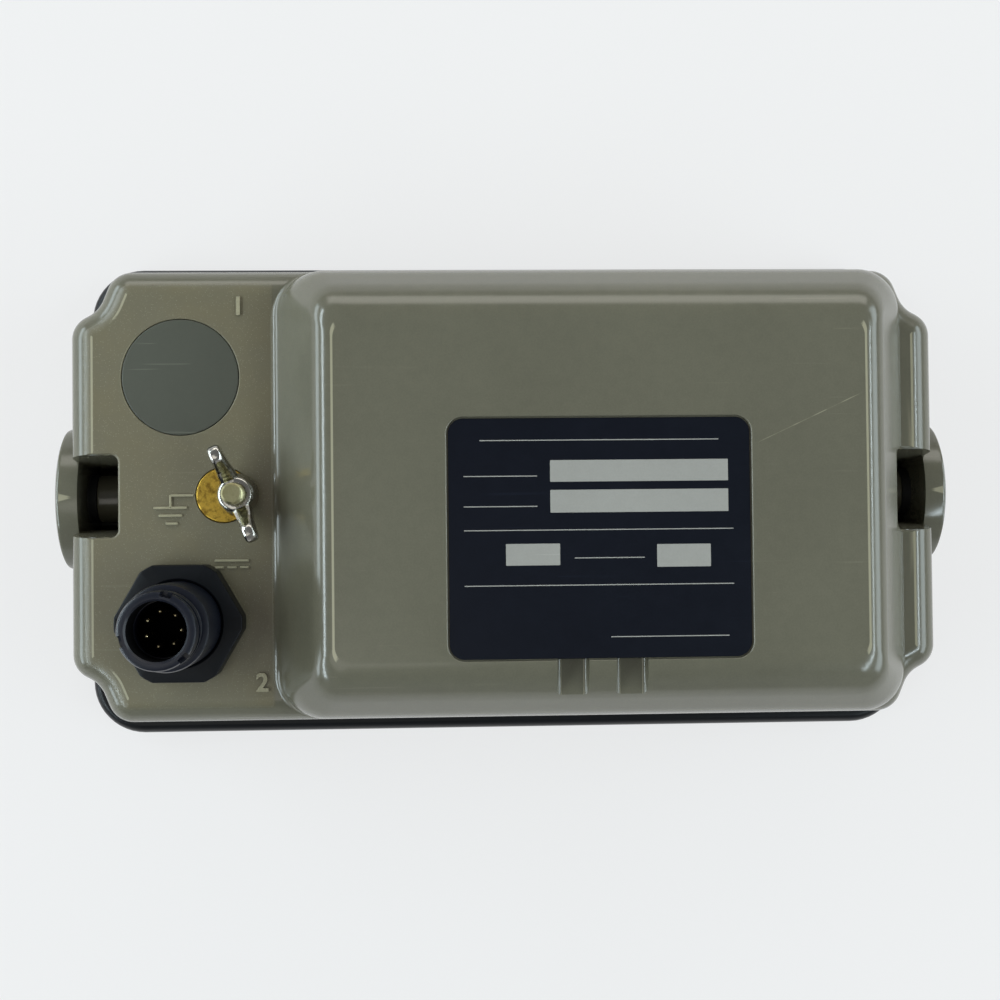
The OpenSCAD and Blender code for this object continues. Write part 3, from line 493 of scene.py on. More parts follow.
def edged(obj: Object, width: float, segments: int = 2, angle: float = 35.0) -> Object:
    """Breaks the sharp edges of a piece."""
    return applied(obj, "BEVEL", width=width * MM, segments=segments, limit_method="ANGLE",
                   angle_limit=math.radians(angle), miter_outer="MITER_ARC")


def smoothed(obj: Object, angle: float = 32.0) -> Object:
    """Shades a piece smooth, apart from its sharp edges.

    Args:
        obj: The piece.
        angle: The least angle of an edge that stays sharp, in degrees.

    Returns:
        The same piece.
    """
    make_active(obj)
    bpy.ops.object.shade_smooth_by_angle(angle=math.radians(angle))
    return applied(obj, "WEIGHTED_NORMAL", keep_sharp=True, weight=60)


# Wiring of shader nodes

Inputs = dict[str | int, object]


@dataclass
class Wiring:
    """Adds nodes to one tree and joins them."""

    tree: bpy.types.NodeTree

    def feed(self, node: bpy.types.Node, inputs: Inputs) -> None:
        """Gives each named input of a node its number, its colour or another node's socket.

        Args:
            node: The node.
            inputs: What each of its inputs gets.
        """
        for name, value in inputs.items():
            if isinstance(value, bpy.types.NodeSocket):
                self.tree.links.new(value, node.inputs[name])
            else:
                node.inputs[name].default_value = value

    def add(self, kind: str, inputs: Inputs | None = None, **options: object) -> bpy.types.Node:
        """Adds a node.

        Args:
            kind: The node's type.
            inputs: A number, a colour or another node's socket for each input.
            options: The node's other settings.

        Returns:
            The new node.
        """
        node = self.tree.nodes.new(kind)
        for name, value in options.items():
            setattr(node, name, value)
        self.feed(node, inputs or {})
        return node

    def group(self, tree: bpy.types.NodeTree, **inputs: float) -> bpy.types.bpy_prop_collection:
        """Adds a shared node group and gives its outputs."""
        return self.add("ShaderNodeGroup", inputs, node_tree=tree).outputs

    def sum(self, operation: str, *values: object) -> Socket:
        """Works out one number from one or two others."""
        return self.add("ShaderNodeMath", dict(enumerate(values)), operation=operation).outputs[0]

    def product(self, first: object, *others: object) -> Socket:
        """Multiplies two or more numbers.

        Args:
            first: The first number.
            others: The numbers that it is multiplied by.

        Returns:
            The product.
        """
        for other in others:
            first = self.sum("MULTIPLY", first, other)
        return first

    def axes(self, vector: Socket) -> bpy.types.bpy_prop_collection:
        """Takes a vector apart into its three numbers."""
        return self.add("ShaderNodeSeparateXYZ", {0: vector}).outputs

    def mixed(self, share: object, first: object, second: object) -> Socket:
        """Mixes two colours."""
        return self.add("ShaderNodeMix", {0: share, 6: first, 7: second}, data_type="RGBA").outputs[2]

    def ranged(self, value: object, low: float, high: float, start: float = 0.0, end: float = 1.0) -> Socket:
        """Maps a range of numbers onto another, with a soft change at its ends."""
        return self.add("ShaderNodeMapRange", {0: value, 1: low, 2: high, 3: start, 4: end},
                        interpolation_type="SMOOTHSTEP").outputs[0]

    def noise(self, vector: Socket, scale: object, detail: float = 2.0, roughness: float = 0.5) -> Socket:
        """Adds a noise that varies from 0 to 1."""
        return self.add("ShaderNodeTexNoise", {"Vector": vector, "Scale": scale, "Detail": detail,
                                               "Roughness": roughness}).outputs["Fac"]

    def place(self) -> Socket:
        """Gives the place on the object, in metres."""
        return self.add("ShaderNodeTexCoord").outputs["Object"]

    def place_around(self) -> Socket:
        """Gives the direction in the room, for the world's light."""
        return self.add("ShaderNodeTexCoord").outputs["Generated"]


def new_group(name: str, inputs: dict[str, float],
              outputs: Sequence[str]) -> tuple[Wiring, Socket, bpy.types.Node]:
    """Starts a shader node group.

    Args:
        name: The group's name.
        inputs: Each input's name and default.
        outputs: Each output's name.

    Returns:
        The wiring of the group, its input node's sockets and its output node.
    """
    tree = bpy.data.node_groups.new(name, "ShaderNodeTree")
    for title, value in inputs.items():
        tree.interface.new_socket(title, in_out="INPUT", socket_type="NodeSocketFloat").default_value = value
    for title in outputs:
        tree.interface.new_socket(title, in_out="OUTPUT", socket_type="NodeSocketFloat")
    wiring = Wiring(tree)
    return wiring, wiring.add("NodeGroupInput").outputs, wiring.add("NodeGroupOutput")


def new_material(name: str) -> tuple[bpy.types.Material, Wiring, bpy.types.Node]:
    """Starts a material, and gives it with its wiring and its main shader.

    Args:
        name: The material's name.

    Returns:
        The material, its wiring and its main shader.
    """
    material = bpy.data.materials.new(name)
    material.use_nodes = True
    return material, Wiring(material.node_tree), material.node_tree.nodes["Principled BSDF"]


@dataclass
class SharedEffects:
    """The node groups that several finishes use."""

    grain: bpy.types.NodeTree = field(init=False)
    scratches: bpy.types.NodeTree = field(init=False)
    wear_and_highlight_edges: bpy.types.NodeTree = field(init=False)

    def __post_init__(self) -> None:
        """Builds each group once."""
        self.grain = self.build_grain()
        self.scratches = self.build_scratches()
        self.wear_and_highlight_edges = self.build_wear_and_highlight_edges()

    def build_grain(self) -> bpy.types.NodeTree:
        """Builds the fine texture of a moulded or cast surface, its cloudy drift of tone and its specks.

        Returns:
            The node group.
        """
        coarser, fine_share = 0.16, 0.7
        wiring, given, result = new_group("Moulded grain", {"Grain": 4000, "Drift": 30, "Specks": 4200},
                                          ["Height", "Tone", "Speck"])
        place = wiring.place()
        fine = wiring.noise(place, given["Grain"], 3, 0.6)
        broad = wiring.noise(place, wiring.product(given["Grain"], coarser), 1)
        cells = wiring.add("ShaderNodeTexVoronoi", {"Vector": place, "Scale": given["Specks"]}).outputs
        number = wiring.add("ShaderNodeSeparateColor", {0: cells["Color"]}).outputs[0]
        inside = wiring.ranged(cells["Distance"], 0.42, 0.15)
        wiring.feed(result, {
            "Height": wiring.sum("ADD", wiring.product(fine, fine_share),
                                 wiring.product(broad, 1 - fine_share)),
            "Tone": wiring.noise(place, given["Drift"], 3, 0.55),
            "Speck": wiring.product(wiring.ranged(number, 0.62, 0.95), inside),
        })
        return wiring.tree

    def build_scratches(self) -> bpy.types.NodeTree:
        """Builds thin, sparse marks of handling in two directions.

        Returns:
            The node group.
        """
        wiring, given, result = new_group("Handling scratches", {"Scale": 40, "Amount": 0.5}, ["Mark"])
        place = wiring.place()
        marks: list[Socket] = []
        stretch = 30
        for turn, shift in ((0.5, 0.0), (-0.9, 3.1)):
            mapping = wiring.add("ShaderNodeMapping", {"Vector": place, "Location": (shift, shift, 0),
                                                       "Rotation": (0, 0, turn), "Scale": (1, stretch, 1)})
            streak = wiring.noise(mapping.outputs[0], given["Scale"], 0)
            marks.append(wiring.ranged(streak, 0.79, 0.81))
        some = wiring.ranged(wiring.noise(place, 60, 1), 0.5, 0.7)
        wiring.feed(result, {"Mark": wiring.product(wiring.sum("MAXIMUM", *marks), some, given["Amount"])})
        return wiring.tree

    def build_wear_and_highlight_edges(self) -> bpy.types.NodeTree:
        """Builds a mask of the first crease of the upright edges, which is lighter than the flats: partly
        rubbed wear, partly a painted highlight.

        Returns:
            The node group.
        """
        wiring, given, result = new_group("Rubbed edges and painted highlight", {"Lowest": 0.992, "Highest": 0.9999}, ["Mask"])
        # The first crease of the upright fillets gets a lighter tint: rubbed wear and a painted highlight.
        across, up, tilt = wiring.axes(wiring.add("ShaderNodeNewGeometry").outputs["Normal"])
        rise = wiring.ranged(wiring.sum("SUBTRACT", tilt, given["Lowest"]), 0.0, 0.003)
        fall = wiring.ranged(wiring.sum("SUBTRACT", given["Highest"], tilt), 0.0, 0.0006)
        sideways = wiring.sum("SUBTRACT", wiring.sum("ABSOLUTE", across), wiring.sum("ABSOLUTE", up))
        wiring.feed(result, {"Mask": wiring.product(rise, fall, wiring.ranged(sideways, 0.0, 0.02))})
        return wiring.tree


effects = SharedEffects()


def linear(red: float, green: float, blue: float) -> Quad:
    """Turns a screen colour, from 0 to 255, into a linear one."""
    parts = [c / 255 for c in (red, green, blue)]
    return (*(c / 12.92 if c <= 0.04045 else ((c + 0.055) / 1.055) ** 2.4 for c in parts), 1.0)


def tinted(colour: Place, factor: float, lift: float = 0.0) -> Quad:
    """Makes a screen colour lighter or darker and turns it into a linear one."""
    return linear(*(min(255, c * factor + lift) for c in colour))


# Finishes

@dataclass(frozen=True)
class Moulded:
    """A moulded plastic or rubber surface with fine grain, a drift of tone, specks and scratches."""

    name: str
    colour: Place
    roughness: float = 0.5
    grain: float = 4000
    depth: float = 0.01
    drift: float = 0.12
    specks: float = 0.0
    scratched: float = 0.2
    specular: float = 0.5
    rougher: float = 0.0

    def material(self) -> bpy.types.Material:
        """Builds the finish.

        Returns:
            The material.
        """
        material, wiring, shader = new_material(self.name)
        grain = wiring.group(effects.grain, Grain=self.grain)
        mark = wiring.group(effects.scratches, Amount=self.scratched)["Mark"]
        drift = wiring.ranged(grain["Tone"], 0.25, 0.75, 0.0, 0.5)
        tone = wiring.sum("ADD", drift, wiring.ranged(grain["Height"], 0.3, 0.7, 0.0, 0.5))
        textured = self.textured(wiring)
        specks = wiring.product(grain["Speck"], self.specks, textured)
        flecked = wiring.mixed(specks, self.coloured(wiring, tone, textured), tinted(self.colour, 1.5, 18))
        rough = wiring.sum("ADD", wiring.product(tone, 0.1), self.roughness - 0.05)
        rougher = wiring.sum("ADD", rough, wiring.product(textured, self.rougher))
        height = wiring.product(grain["Height"], wiring.ranged(textured, 0, 1, 0.25, 1))
        bump = wiring.add("ShaderNodeBump", {"Strength": 0.8, "Distance": self.depth * MM, "Height": height})
        wiring.feed(shader, {
            "Base Color": wiring.mixed(mark, flecked, tinted(self.colour, 1.3, 22)),
            "Roughness": wiring.sum("SUBTRACT", rougher, wiring.product(mark, 0.12)),
            "Normal": bump.outputs[0],
            "Specular IOR Level": self.specular,
        })
        return material

    def textured(self, wiring: Wiring) -> Socket:
        """Gives the share of the surface's full texture at each place."""
        return wiring.ranged(wiring.noise(wiring.place(), 25, 1), 0.1, 0.4, 0.8, 1.0)

    def coloured(self, wiring: Wiring, tone: Socket, textured: Socket) -> Socket:
        """Gives the colour before its wear, from a darker to a lighter tone."""
        return wiring.mixed(tone, tinted(self.colour, 1 - self.drift), tinted(self.colour, 1 + self.drift))


@dataclass(frozen=True)
class CoverPaint(Moulded):
    """The rear cover's satin finish: olive grey, browner and textured on the flat connector panel."""

    panel_colour: Place = (102, 95, 73)
    # Light beige of the edge crease line: rubbed wear and a painted highlight.
    edge_wear_and_highlight_colour: Place = (158, 152, 128)
    panel_edge: float = -45.4
    panel_range: Pair = (42.6, 43.6)
    scratch_at: Place = (55.2, 12.9, 58.4)
    scratch_turn: float = math.radians(24.9)
    scratch_half: Pair = (11.6, 0.07)

    def textured(self, wiring: Wiring) -> Socket:
        """Gives the share of the texture: full on the flat connector panel only.

        Args:
            wiring: The wiring of the material.

        Returns:
            The share, from 0 to 1.
        """
        x, _, z = wiring.axes(wiring.place())
        low, high = self.panel_range
        wide, thin = 0.5, 0.3
        beside = wiring.ranged(x, (self.panel_edge + wide) * MM, (self.panel_edge - wide) * MM)
        above = wiring.ranged(z, (low - thin) * MM, (low + thin) * MM)
        below = wiring.ranged(z, (high + thin) * MM, (high - thin) * MM)
        return wiring.product(beside, above, below)

    def coloured(self, wiring: Wiring, tone: Socket, textured: Socket) -> Socket:
        """Mixes the two tones of the cover and the lighter crease line of the edges, partly rubbed wear and
        partly a painted highlight.

        Args:
            wiring: The wiring of the material.
            tone: The mix of the darker and the lighter tone.
            textured: The share of the texture.

        Returns:
            The colour.
        """
        base = super().coloured(wiring, tone, textured)
        cloud = wiring.ranged(wiring.noise(wiring.place(), 90, 4, 0.6), 0.3, 0.72, 0.6, 1.0)
        browned = wiring.mixed(wiring.product(textured, cloud), base, linear(*self.panel_colour))
        # Edge crease line: partly rubbed wear, partly a painted highlight.
        edge_wear_and_highlight = wiring.product(wiring.group(effects.wear_and_highlight_edges)["Mask"], 0.75)
        share = wiring.sum("MAXIMUM", edge_wear_and_highlight, self.scratch(wiring))
        return wiring.mixed(share, browned, linear(*self.edge_wear_and_highlight_colour))

    def scratch(self, wiring: Wiring) -> Socket:
        """Gives the mask of the one long scratch on the raised box.

        Args:
            wiring: The wiring of the material.

        Returns:
            The mask, from 0 to 1.
        """
        mapping = wiring.add("ShaderNodeMapping", {
            "Vector": wiring.place(), "Location": metres(self.scratch_at),
            "Rotation": (0, 0, self.scratch_turn),
        }, vector_type="TEXTURE")
        away = [wiring.sum("ABSOLUTE", axis) for axis in wiring.axes(mapping.outputs[0])]
        length, width = (half * MM for half in self.scratch_half)
        along = wiring.ranged(away[0], length, length * 0.7)
        across = wiring.ranged(away[1], width * 1.8, width * 0.4)
        near = wiring.ranged(away[2], 1.4 * MM, 0.9 * MM)
        broken = wiring.ranged(wiring.noise(wiring.place(), 300, 2), 0.35, 0.6, 0.1, 0.5)
        return wiring.product(along, across, near, broken)


@dataclass(frozen=True)
class Metal:
    """A plated, cast or turned metal with tarnish."""

    name: str
    colour: Place
    tarnish: Place
    roughness: float = 0.3
    grain: float = 2500
    depth: float = 0.012
    spread: float = 260
    amount: float = 0.6

    def material(self) -> bpy.types.Material:
        """Builds the finish.

        Returns:
            The material.
        """
        material, wiring, shader = new_material(self.name)
        grain = wiring.group(effects.grain, Grain=self.grain)
        mark = wiring.group(effects.scratches, Scale=160)["Mark"]
        stain = wiring.ranged(wiring.noise(wiring.place(), self.spread, 5, 0.62), 0.42, 0.66)
        share = wiring.product(stain, self.amount)
        colour = wiring.mixed(share, linear(*self.colour), linear(*self.tarnish))
        bump = wiring.add("ShaderNodeBump", {"Strength": 0.9, "Distance": self.depth * MM,
                                             "Height": grain["Height"]})
        wiring.feed(shader, {
            "Base Color": wiring.mixed(mark, colour, tinted(self.colour, 1.15)),
            "Roughness": wiring.sum("ADD", wiring.product(share, 0.3), self.roughness),
            "Normal": bump.outputs[0],
            "Metallic": 1.0,
        })
        return material


@dataclass(frozen=True)
class Glass:
    """A clear or tinted pane with faint smears."""

    name: str
    colour: Place
    transmission: float = 1.0
    roughness: float = 0.04

    def material(self) -> bpy.types.Material:
        """Builds the finish.

        Returns:
            The material.
        """
        material, wiring, shader = new_material(self.name)
        smear = wiring.ranged(wiring.noise(wiring.place(), 45, 4, 0.6), 0.4, 0.75, self.roughness,
                              self.roughness + 0.12)
        tint = wiring.mixed(wiring.noise(wiring.place(), 20, 2), linear(*self.colour),
                            tinted(self.colour, 0.94))
        wiring.feed(shader, {"Roughness": smear, "Base Color": tint, "Transmission Weight": self.transmission,
                             "IOR": 1.49})
        return material


class Finish(Enum):
    """Every finish of the unit."""

    COVER = CoverPaint("Cover paint", (93, 90, 76), roughness=0.18, grain=3000, depth=0.035, drift=0.05,
                       specks=0.5, scratched=0.1, rougher=0.2, specular=0.6)
    # The raised marks' lighter colour is a painted highlight on their tops, standing in for light catching
    # the relief.
    MARK = Moulded("Raised marks", (142, 136, 112), roughness=0.4, grain=5200, depth=0.01, specks=0.2)
    FRAME = Moulded("Frame plastic", (9, 11, 14), roughness=0.34, grain=3600, depth=0.006, drift=0.1,
                    specular=0.25)
    PORT = Moulded("Port disc", (65, 66, 56), roughness=0.5, grain=6000, depth=0.006, drift=0.06,
                   scratched=0.4)
    KEY = Moulded("Key rubber", (122, 126, 128), roughness=0.62, grain=5000, depth=0.01, drift=0.05)
    SYMBOL = Moulded("Key symbols", (226, 228, 226), roughness=0.55, drift=0.03, scratched=0.1)
    NUT = Moulded("Nut plastic", (7, 9, 13), roughness=0.42, grain=3000, depth=0.008, drift=0.14,
                  scratched=0.2, specular=0.22)
    NAVY = Moulded("Connector plastic", (13, 16, 26), roughness=0.3, grain=3000, depth=0.008, drift=0.14,
                   scratched=0.2, specular=0.45)
    INSERT = Moulded("Connector insert", (3, 3, 4), roughness=0.85, grain=4500, depth=0.01, specular=0.08)
    LABEL = Moulded("Label print", (7, 11, 21), roughness=0.34, grain=2600, depth=0.003, drift=0.1,
                    scratched=0.2, specular=0.22)
    SILVER = Moulded("Label silver", (142, 140, 134), roughness=0.5, grain=3000, depth=0.003, drift=0.03,
                     scratched=0.1)
    RUBBER = Moulded("Seal rubber", (26, 26, 27), roughness=0.72, grain=3000, depth=0.02)
    BLACK = Moulded("Moulded black", (30, 30, 32), roughness=0.55, grain=3500, depth=0.01)
    WHITE = Moulded("Moulded white", (218, 217, 208), roughness=0.45, grain=3500, depth=0.006, drift=0.03)
    BOARD = Moulded("Board lacquer", (24, 92, 58), roughness=0.32, grain=1500, depth=0.008, drift=0.15,
                    specks=0.3)
    CAST = Metal("Plated casting", (188, 186, 180), (120, 112, 96), roughness=0.16, grain=1300, depth=0.04,
                 spread=420, amount=0.45)
    STUD = Metal("Stud end", (172, 168, 132), (122, 112, 76), roughness=0.3, grain=2200, depth=0.02,
                 spread=350)
    STEEL = Metal("Plated steel", (186, 186, 180), (120, 112, 96), roughness=0.26, grain=2600, depth=0.012)
    BRASS = Metal("Stained brass", (188, 154, 66), (104, 76, 30), roughness=0.4, grain=1200, depth=0.12,
                  spread=760, amount=0.85)
    GOLD = Metal("Contact gold", (240, 224, 180), (196, 168, 110), roughness=0.2, amount=0.25)
    WINDOW = Glass("Window pane", (238, 242, 240))
    SCREEN = Glass("Screen glass", (112, 122, 108), transmission=0.25, roughness=0.12)


@cache
def material_of(finish: Finish) -> bpy.types.Material:
    """Builds the material of a finish once, and gives the same one each time."""
    return finish.value.material()


def cover(obj: Object, finish: Finish) -> None:
    """Puts a finish all over a piece."""
    obj.data.materials.clear()
    obj.data.materials.append(material_of(finish))


def fitted(obj: Object, finish: Finish, slot: str, body: str = UNIT, stands_for: str | None = None) -> Object:
    """Finishes a new piece.

    Args:
        obj: The piece.
        finish: Its finish.
        slot: The name of the finish's slot; not used.
        body: The body that it rides on.
        stands_for: The node that it replaces, where it replaces one.

    Returns:
        The piece.
    """
    cover(obj, finish)
    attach(obj, body)
    if stands_for:
        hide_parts(stands_for)
    log.info("%s: %d faces on %s", obj.name, len(obj.data.polygons), body)
    return obj


# Sub-assemblies

@dataclass
class CoverShell:
    """The rear cover: a rounded body with side shoulders, a raised box, notches, bosses and pockets."""

    wall: float = 2.6
    foot: float = 6.0
    body_x: float = 84.5
    body_y: float = 43.8
    shoulder: tuple[Corner, ...] = ((8.3, 0.0, 5.2), (5.2, 7.5, 6.0), (0.0, 10.2, 4.9))
    edge_r: float = 5.0
    plateau_left: float = -35.6
    plateau_right: float = 68.9
    plateau_y: float = 36.4
    slope: float = math.radians(60)
    plateau_foot: float = 37.0
    flare_r: float = 2.5
    side_r: float = 9.0
    side_reach: float = 43.0
    right_reach: float = 77.4
    crown_r: float = 3.0
    crown_least: float = 0.8
    crown_from: float = 2.9
    crown_growth: float = 0.468
    bend: float = 1.6
    ring_steps: Pair = (0.6, 0.75)
    flange: Triple = (84.5, 46.9, 8.1)
    flange_top: float = 11.2
    flange_round: float = 1.2
    boss_z: float = 22.6
    boss_r: float = 5.0
    boss_x: Pair = (70.0, 82.3)
    insert_r: float = 3.77
    disc_r: float = 14.3
    disc_x: Pair = (84.1, 88.5)
    disc_hole_r: float = 3.4
    seat_radii: Triple = (3.5, 4.8, 4.9)
    notch_x: float = 75.0
    notch_half: Pair = (6.4, 8.0)
    notch_z: Pair = (13.6, 30.0)
    notch_end_r: float = 1.5
    notch_length: float = 16.0
    notch_lip: Triple = (10.0, 42.4, 0.45)
    housing: float = 2.0
    round_pockets: tuple[tuple[float, float, Flat], ...] = (
        (11.25, 42.2, PORT_AT), (5.35, 42.0, EARTH_PLATE_AT), (8.05, 40.0, CONNECTOR_AT),
    )
    label_pocket: Triple = (28.3, 22.5, 3.1)
    label_floor: float = 57.7
    groove_places: Pair = (10.95, 21.95)
    groove_half: float = 2.95
    groove_floor: float = 55.3
    groove_y: Pair = (-52.0, -31.0)
    groove_r: float = 0.9
    pad: tuple[Flat, ...] = ((4.9, -50.0), (4.9, -31.4), (28.0, -31.4), (28.0, -50.0))
    pad_z: Pair = (53.1, 60.0)
    port_hole_r: float = 9.0
    stud_hole_r: float = 2.05
    hole_z: Pair = (39.0, 42.5)
    post_radii: Pair = (1.55, 3.8)
    post_z: Pair = (5.0, 30.0)

    def corners(self) -> list[Corner]:
        """Lists the outline's corners, clockwise from the upper left shoulder.

        Returns:
            Each corner's two coordinates and radius.
        """
        quarter = [(self.body_x - x, self.body_y - y, r) for x, y, r in self.shoulder]
        right = quarter + [(x, -y, r) for x, y, r in reversed(quarter)]
        return right + [(-x, -y, r) for x, y, r in right]

    def body(self, name: str, inner: float) -> Object:
        """Builds the rounded body, or its hollow where it is set in by the wall.

        Args:
            name: The piece's name.
            inner: How far it is set in by the wall, 0 for the outside.

        Returns:
            The new object.
        """
        top, radius = PANEL_Z - inner, self.edge_r - inner
        rounds = [(inner + radius * (1 - math.cos(a)), top - radius + radius * math.sin(a))
                  for a in quarter_turn(8)]
        return stacked(name, self.corners(), [(inner, self.foot - 2 * inner), *rounds])

    def plateau_ring(self, out: float, z: float, inner: float) -> Ring:
        """Lays out the raised box at one height, where it reaches out from its upper edges.

        Args:
            out: How far it reaches out from the upper edges.
            z: The height.
            inner: How far it is set in by the wall, 0 for the outside.

        Returns:
            The ring.
        """
        side_out = out if inner else self.side_out(z)
        half_y = soft_min(self.plateau_y + side_out, self.side_reach - inner, self.bend)
        radius = max(self.crown_r + self.crown_growth * (out + self.crown_from), self.crown_least)
        left = self.plateau_left - out
        right = soft_min(self.plateau_right + out, self.right_reach - inner, self.bend)
        return level(rounded(rectangle((right - left) / 2, half_y, radius, ((left + right) / 2, 0)), 12), z)

    def side_out(self, z: float) -> float:
        """Gives how far the box's two long sides, with their wider rounding, reach out at one height.

        Args:
            z: The height.

        Returns:
            The reach, in millimetres.
        """
        drop = PLATEAU_Z - z
        start = -self.side_r * math.tan(self.slope / 2)
        round_drop = self.side_r * (1 - math.cos(self.slope))
        if drop < round_drop:
            return start + self.side_r * math.sin(math.acos(1 - drop / self.side_r))
        return start + self.side_r * math.sin(self.slope) + (drop - round_drop) / math.tan(self.slope)

    def plateau(self, name: str, inner: float) -> Object:
        """Builds the raised box, or its hollow where it is set in by the wall.

        Args:
            name: The piece's name.
            inner: How far it is set in by the wall, 0 for the outside.

        Returns:
            The new object.
        """
        radius = self.edge_r - inner
        tangent = self.edge_r * math.tan(self.slope / 2)
        centre_z = PLATEAU_Z - self.edge_r
        start = math.pi / 2 - self.slope
        arcs = [start + (math.pi / 2 - start) * i / 8 for i in range(8, -1, -1)]
        rings = [(radius * math.cos(a) - tangent, centre_z + radius * math.sin(a)) for a in arcs]
        out, z = rings[-1]
        foot = PANEL_Z + self.flare_r / 2 if not inner else self.plateau_foot - inner
        first, step = self.ring_steps
        level_z = z - first
        while level_z > foot + 0.2:
            rings.append((out + (z - level_z) / math.tan(self.slope), level_z))
            level_z -= step
        if not inner:
            middle = out + (z - PANEL_Z) / math.tan(self.slope) + self.flare_r * math.tan(self.slope / 2)
            low = PANEL_Z - 0.03
            rings += [(middle - self.flare_r * math.cos(a), low + self.flare_r * (1 - math.sin(a)))
                      for a in (math.radians(degrees) for degrees in range(30, 91, 10))]
            rings.append((middle, self.plateau_foot))
        return loft(name, [self.plateau_ring(o, height, inner) for o, height in rings])

    def notch_tool(self, side: Side) -> Object:
        """Builds the cutter of one side's open notch, with a rounded inner end.

        Args:
            side: Which side of the unit it is for.

        Returns:
            The cutter.
        """
        low, high = self.notch_half
        floor, knee = self.notch_z
        half = [(-low, floor, 1.2), (-low, knee, 6.0), (-high, PANEL_Z, 0), (-high, PLATEAU_Z, 0)]
        corners = half + [(-y, z, r) for y, z, r in reversed(half)]
        rounds = [(self.notch_end_r * (1 - math.cos(a)), self.notch_end_r * (1 - math.sin(a)))
                  for a in quarter_turn(5)]
        return loft("Notch tool", [
            [(side.value * (self.notch_x + x), y, z) for y, z in rounded(inset(corners, width), 4)]
            for x, width in (*rounds, (self.notch_length, 0.0))
        ])

    def housing_tool(self, side: Side) -> Object:
        """Builds the block that stays solid round one side's notch.

        Args:
            side: Which side of the unit it is for.

        Returns:
            The block.
        """
        outer, inner = self.body_x + self.housing, self.notch_x - self.housing
        middle = side.value * (outer + inner) / 2
        outline = rectangle((outer - inner) / 2, self.notch_half[1] + self.housing, 0, (middle, 0))
        return prism("Housing tool", rounded(outline), self.notch_z[0] - self.housing, PLATEAU_Z)

    def pocket_tool(self, name: str, corners: Sequence[Corner], low: float, top: float, lip: float) -> Object:
        """Builds a cutter with a floor, upright walls and a softly broken lip."""
        rounds = [(-lip * (1 - math.cos(a)), top - lip + lip * math.sin(a))
                  for a in (share * math.pi / 2 for share in (0.0, 0.3, 0.7, 1.0))]
        return stacked(name, corners, [(0, low), *rounds, (-lip, top + 1)])

    def round_tool(self, radius: float, low: float, top: float, at: Flat, lip: float = 0.25) -> Object:
        """Builds a round cutter with a softly broken lip."""
        profile = [(0, low), (radius, low), (radius, top - lip), (radius + lip * 0.3, top - lip * 0.3),
                   (radius + lip, top), (radius + lip, top + 1), (0, top + 1)]
        return turned("Round tool", profile, at)

    def groove_tool(self, x: float) -> Object:
        """Builds the cutter of one of the two grooves below the label.

        Args:
            x: Its middle across.

        Returns:
            The cutter.
        """
        half, floor, radius = self.groove_half, self.groove_floor, self.groove_r
        above = PLATEAU_Z + 3.6
        section = rounded([(x - half, floor, radius), (x - half, above, 0), (x + half, above, 0),
                           (x + half, floor, radius)], 5)
        return loft("Groove tool", [[(px, y, pz) for px, pz in section] for y in self.groove_y])

    def build(self) -> None:
        """Builds the shell, its flange, discs, bosses and posts."""
        shell = combined(self.body("Cover_shell", 0), self.plateau("Raised box", 0), Combine.ADD)
        r = self.flange_round
        rounds = [(r * (1 - math.cos(a)), self.flange_top - r * (1 - math.sin(a))) for a in quarter_turn(5)]
        combined(shell, stacked("Flange", rectangle(*self.flange), [(0, self.foot), *rounds]), Combine.ADD)
        hollow = combined(self.body("Hollow", self.wall), self.plateau("Box hollow", self.wall), Combine.ADD)
        cut(hollow, *(self.housing_tool(side) for side in Side), prism("Groove pad", self.pad, *self.pad_z))
        cut(shell, hollow, *(self.notch_tool(side) for side in Side))
        cut(shell, *(self.round_tool(radius, low, PANEL_Z, at) for radius, low, at in self.round_pockets))
        label = rectangle(*self.label_pocket, LABEL_AT)
        cut(shell, self.pocket_tool("Label tool", label, self.label_floor, PLATEAU_Z, 0.25))
        half_x, low, lip = self.notch_lip
        for side in Side:
            outline = rectangle(half_x, self.notch_half[1], 1.5, (side.value * (self.notch_x + half_x), 0.0))
            cut(shell, self.pocket_tool("Notch lip", outline, low, PANEL_Z, lip))
        cut(shell, *(self.groove_tool(x) for x in self.groove_places))
        cut(shell, rod("Port hole", self.port_hole_r, *self.hole_z, PORT_AT),
            rod("Stud hole", self.stud_hole_r, *self.hole_z, STUD_AT))
        fitted(smoothed(shell), Finish.COVER, "cover_paint", stands_for="rear_cover")
        for side in Side:
            self.build_side(side)
        posts = [tube("Post", self.post_radii, *self.post_z, at, 40) for at in in_four_corners(SCREW_PLACES)]
        fitted(smoothed(joined("Case_posts", posts)), Finish.COVER, "cover_paint", stands_for="rear_cover")

    def build_side(self, side: Side) -> None:
        """Builds one side's bracket disc, the boss inside its notch and the ring between them.

        Args:
            side: Which side of the unit it is for.
        """
        root, face = self.disc_x
        start, end = self.boss_x
        clear = 0.02
        gap = (end + clear, root - clear)
        inner, first, outer = self.seat_radii
        disc = [(self.disc_hole_r, root), (self.disc_r, root), (self.disc_r, face - 0.9),
                (self.disc_r - 0.25, face - 0.3), (self.disc_r - 0.9, face), (self.disc_hole_r + 0.4, face),
                (self.disc_hole_r, face - 0.4)]
        boss = [(self.insert_r, start), (self.boss_r, start), *broken_rim(self.boss_r, end, 0.5, 0.15),
                (self.insert_r, end)]
        seat = [(inner, gap[0]), (first, gap[0]), (outer, gap[0] + 0.1), (outer, gap[1]), (inner, gap[1])]
        paint = (Finish.COVER, "cover_paint", UNIT, "rear_cover")
        rubber = (Finish.RUBBER, "seal_rubber")
        for title, profile, segments, look in (
                ("bracket_disc", disc, 128, paint), ("bracket_boss", boss, 96, paint),
                ("seat_ring", seat, 96, rubber)):
            piece = turned(f"{side.name.title()}_{title}", profile, segments=segments)
            fitted(smoothed(lay_along_x(piece, self.boss_z, side)), *look)


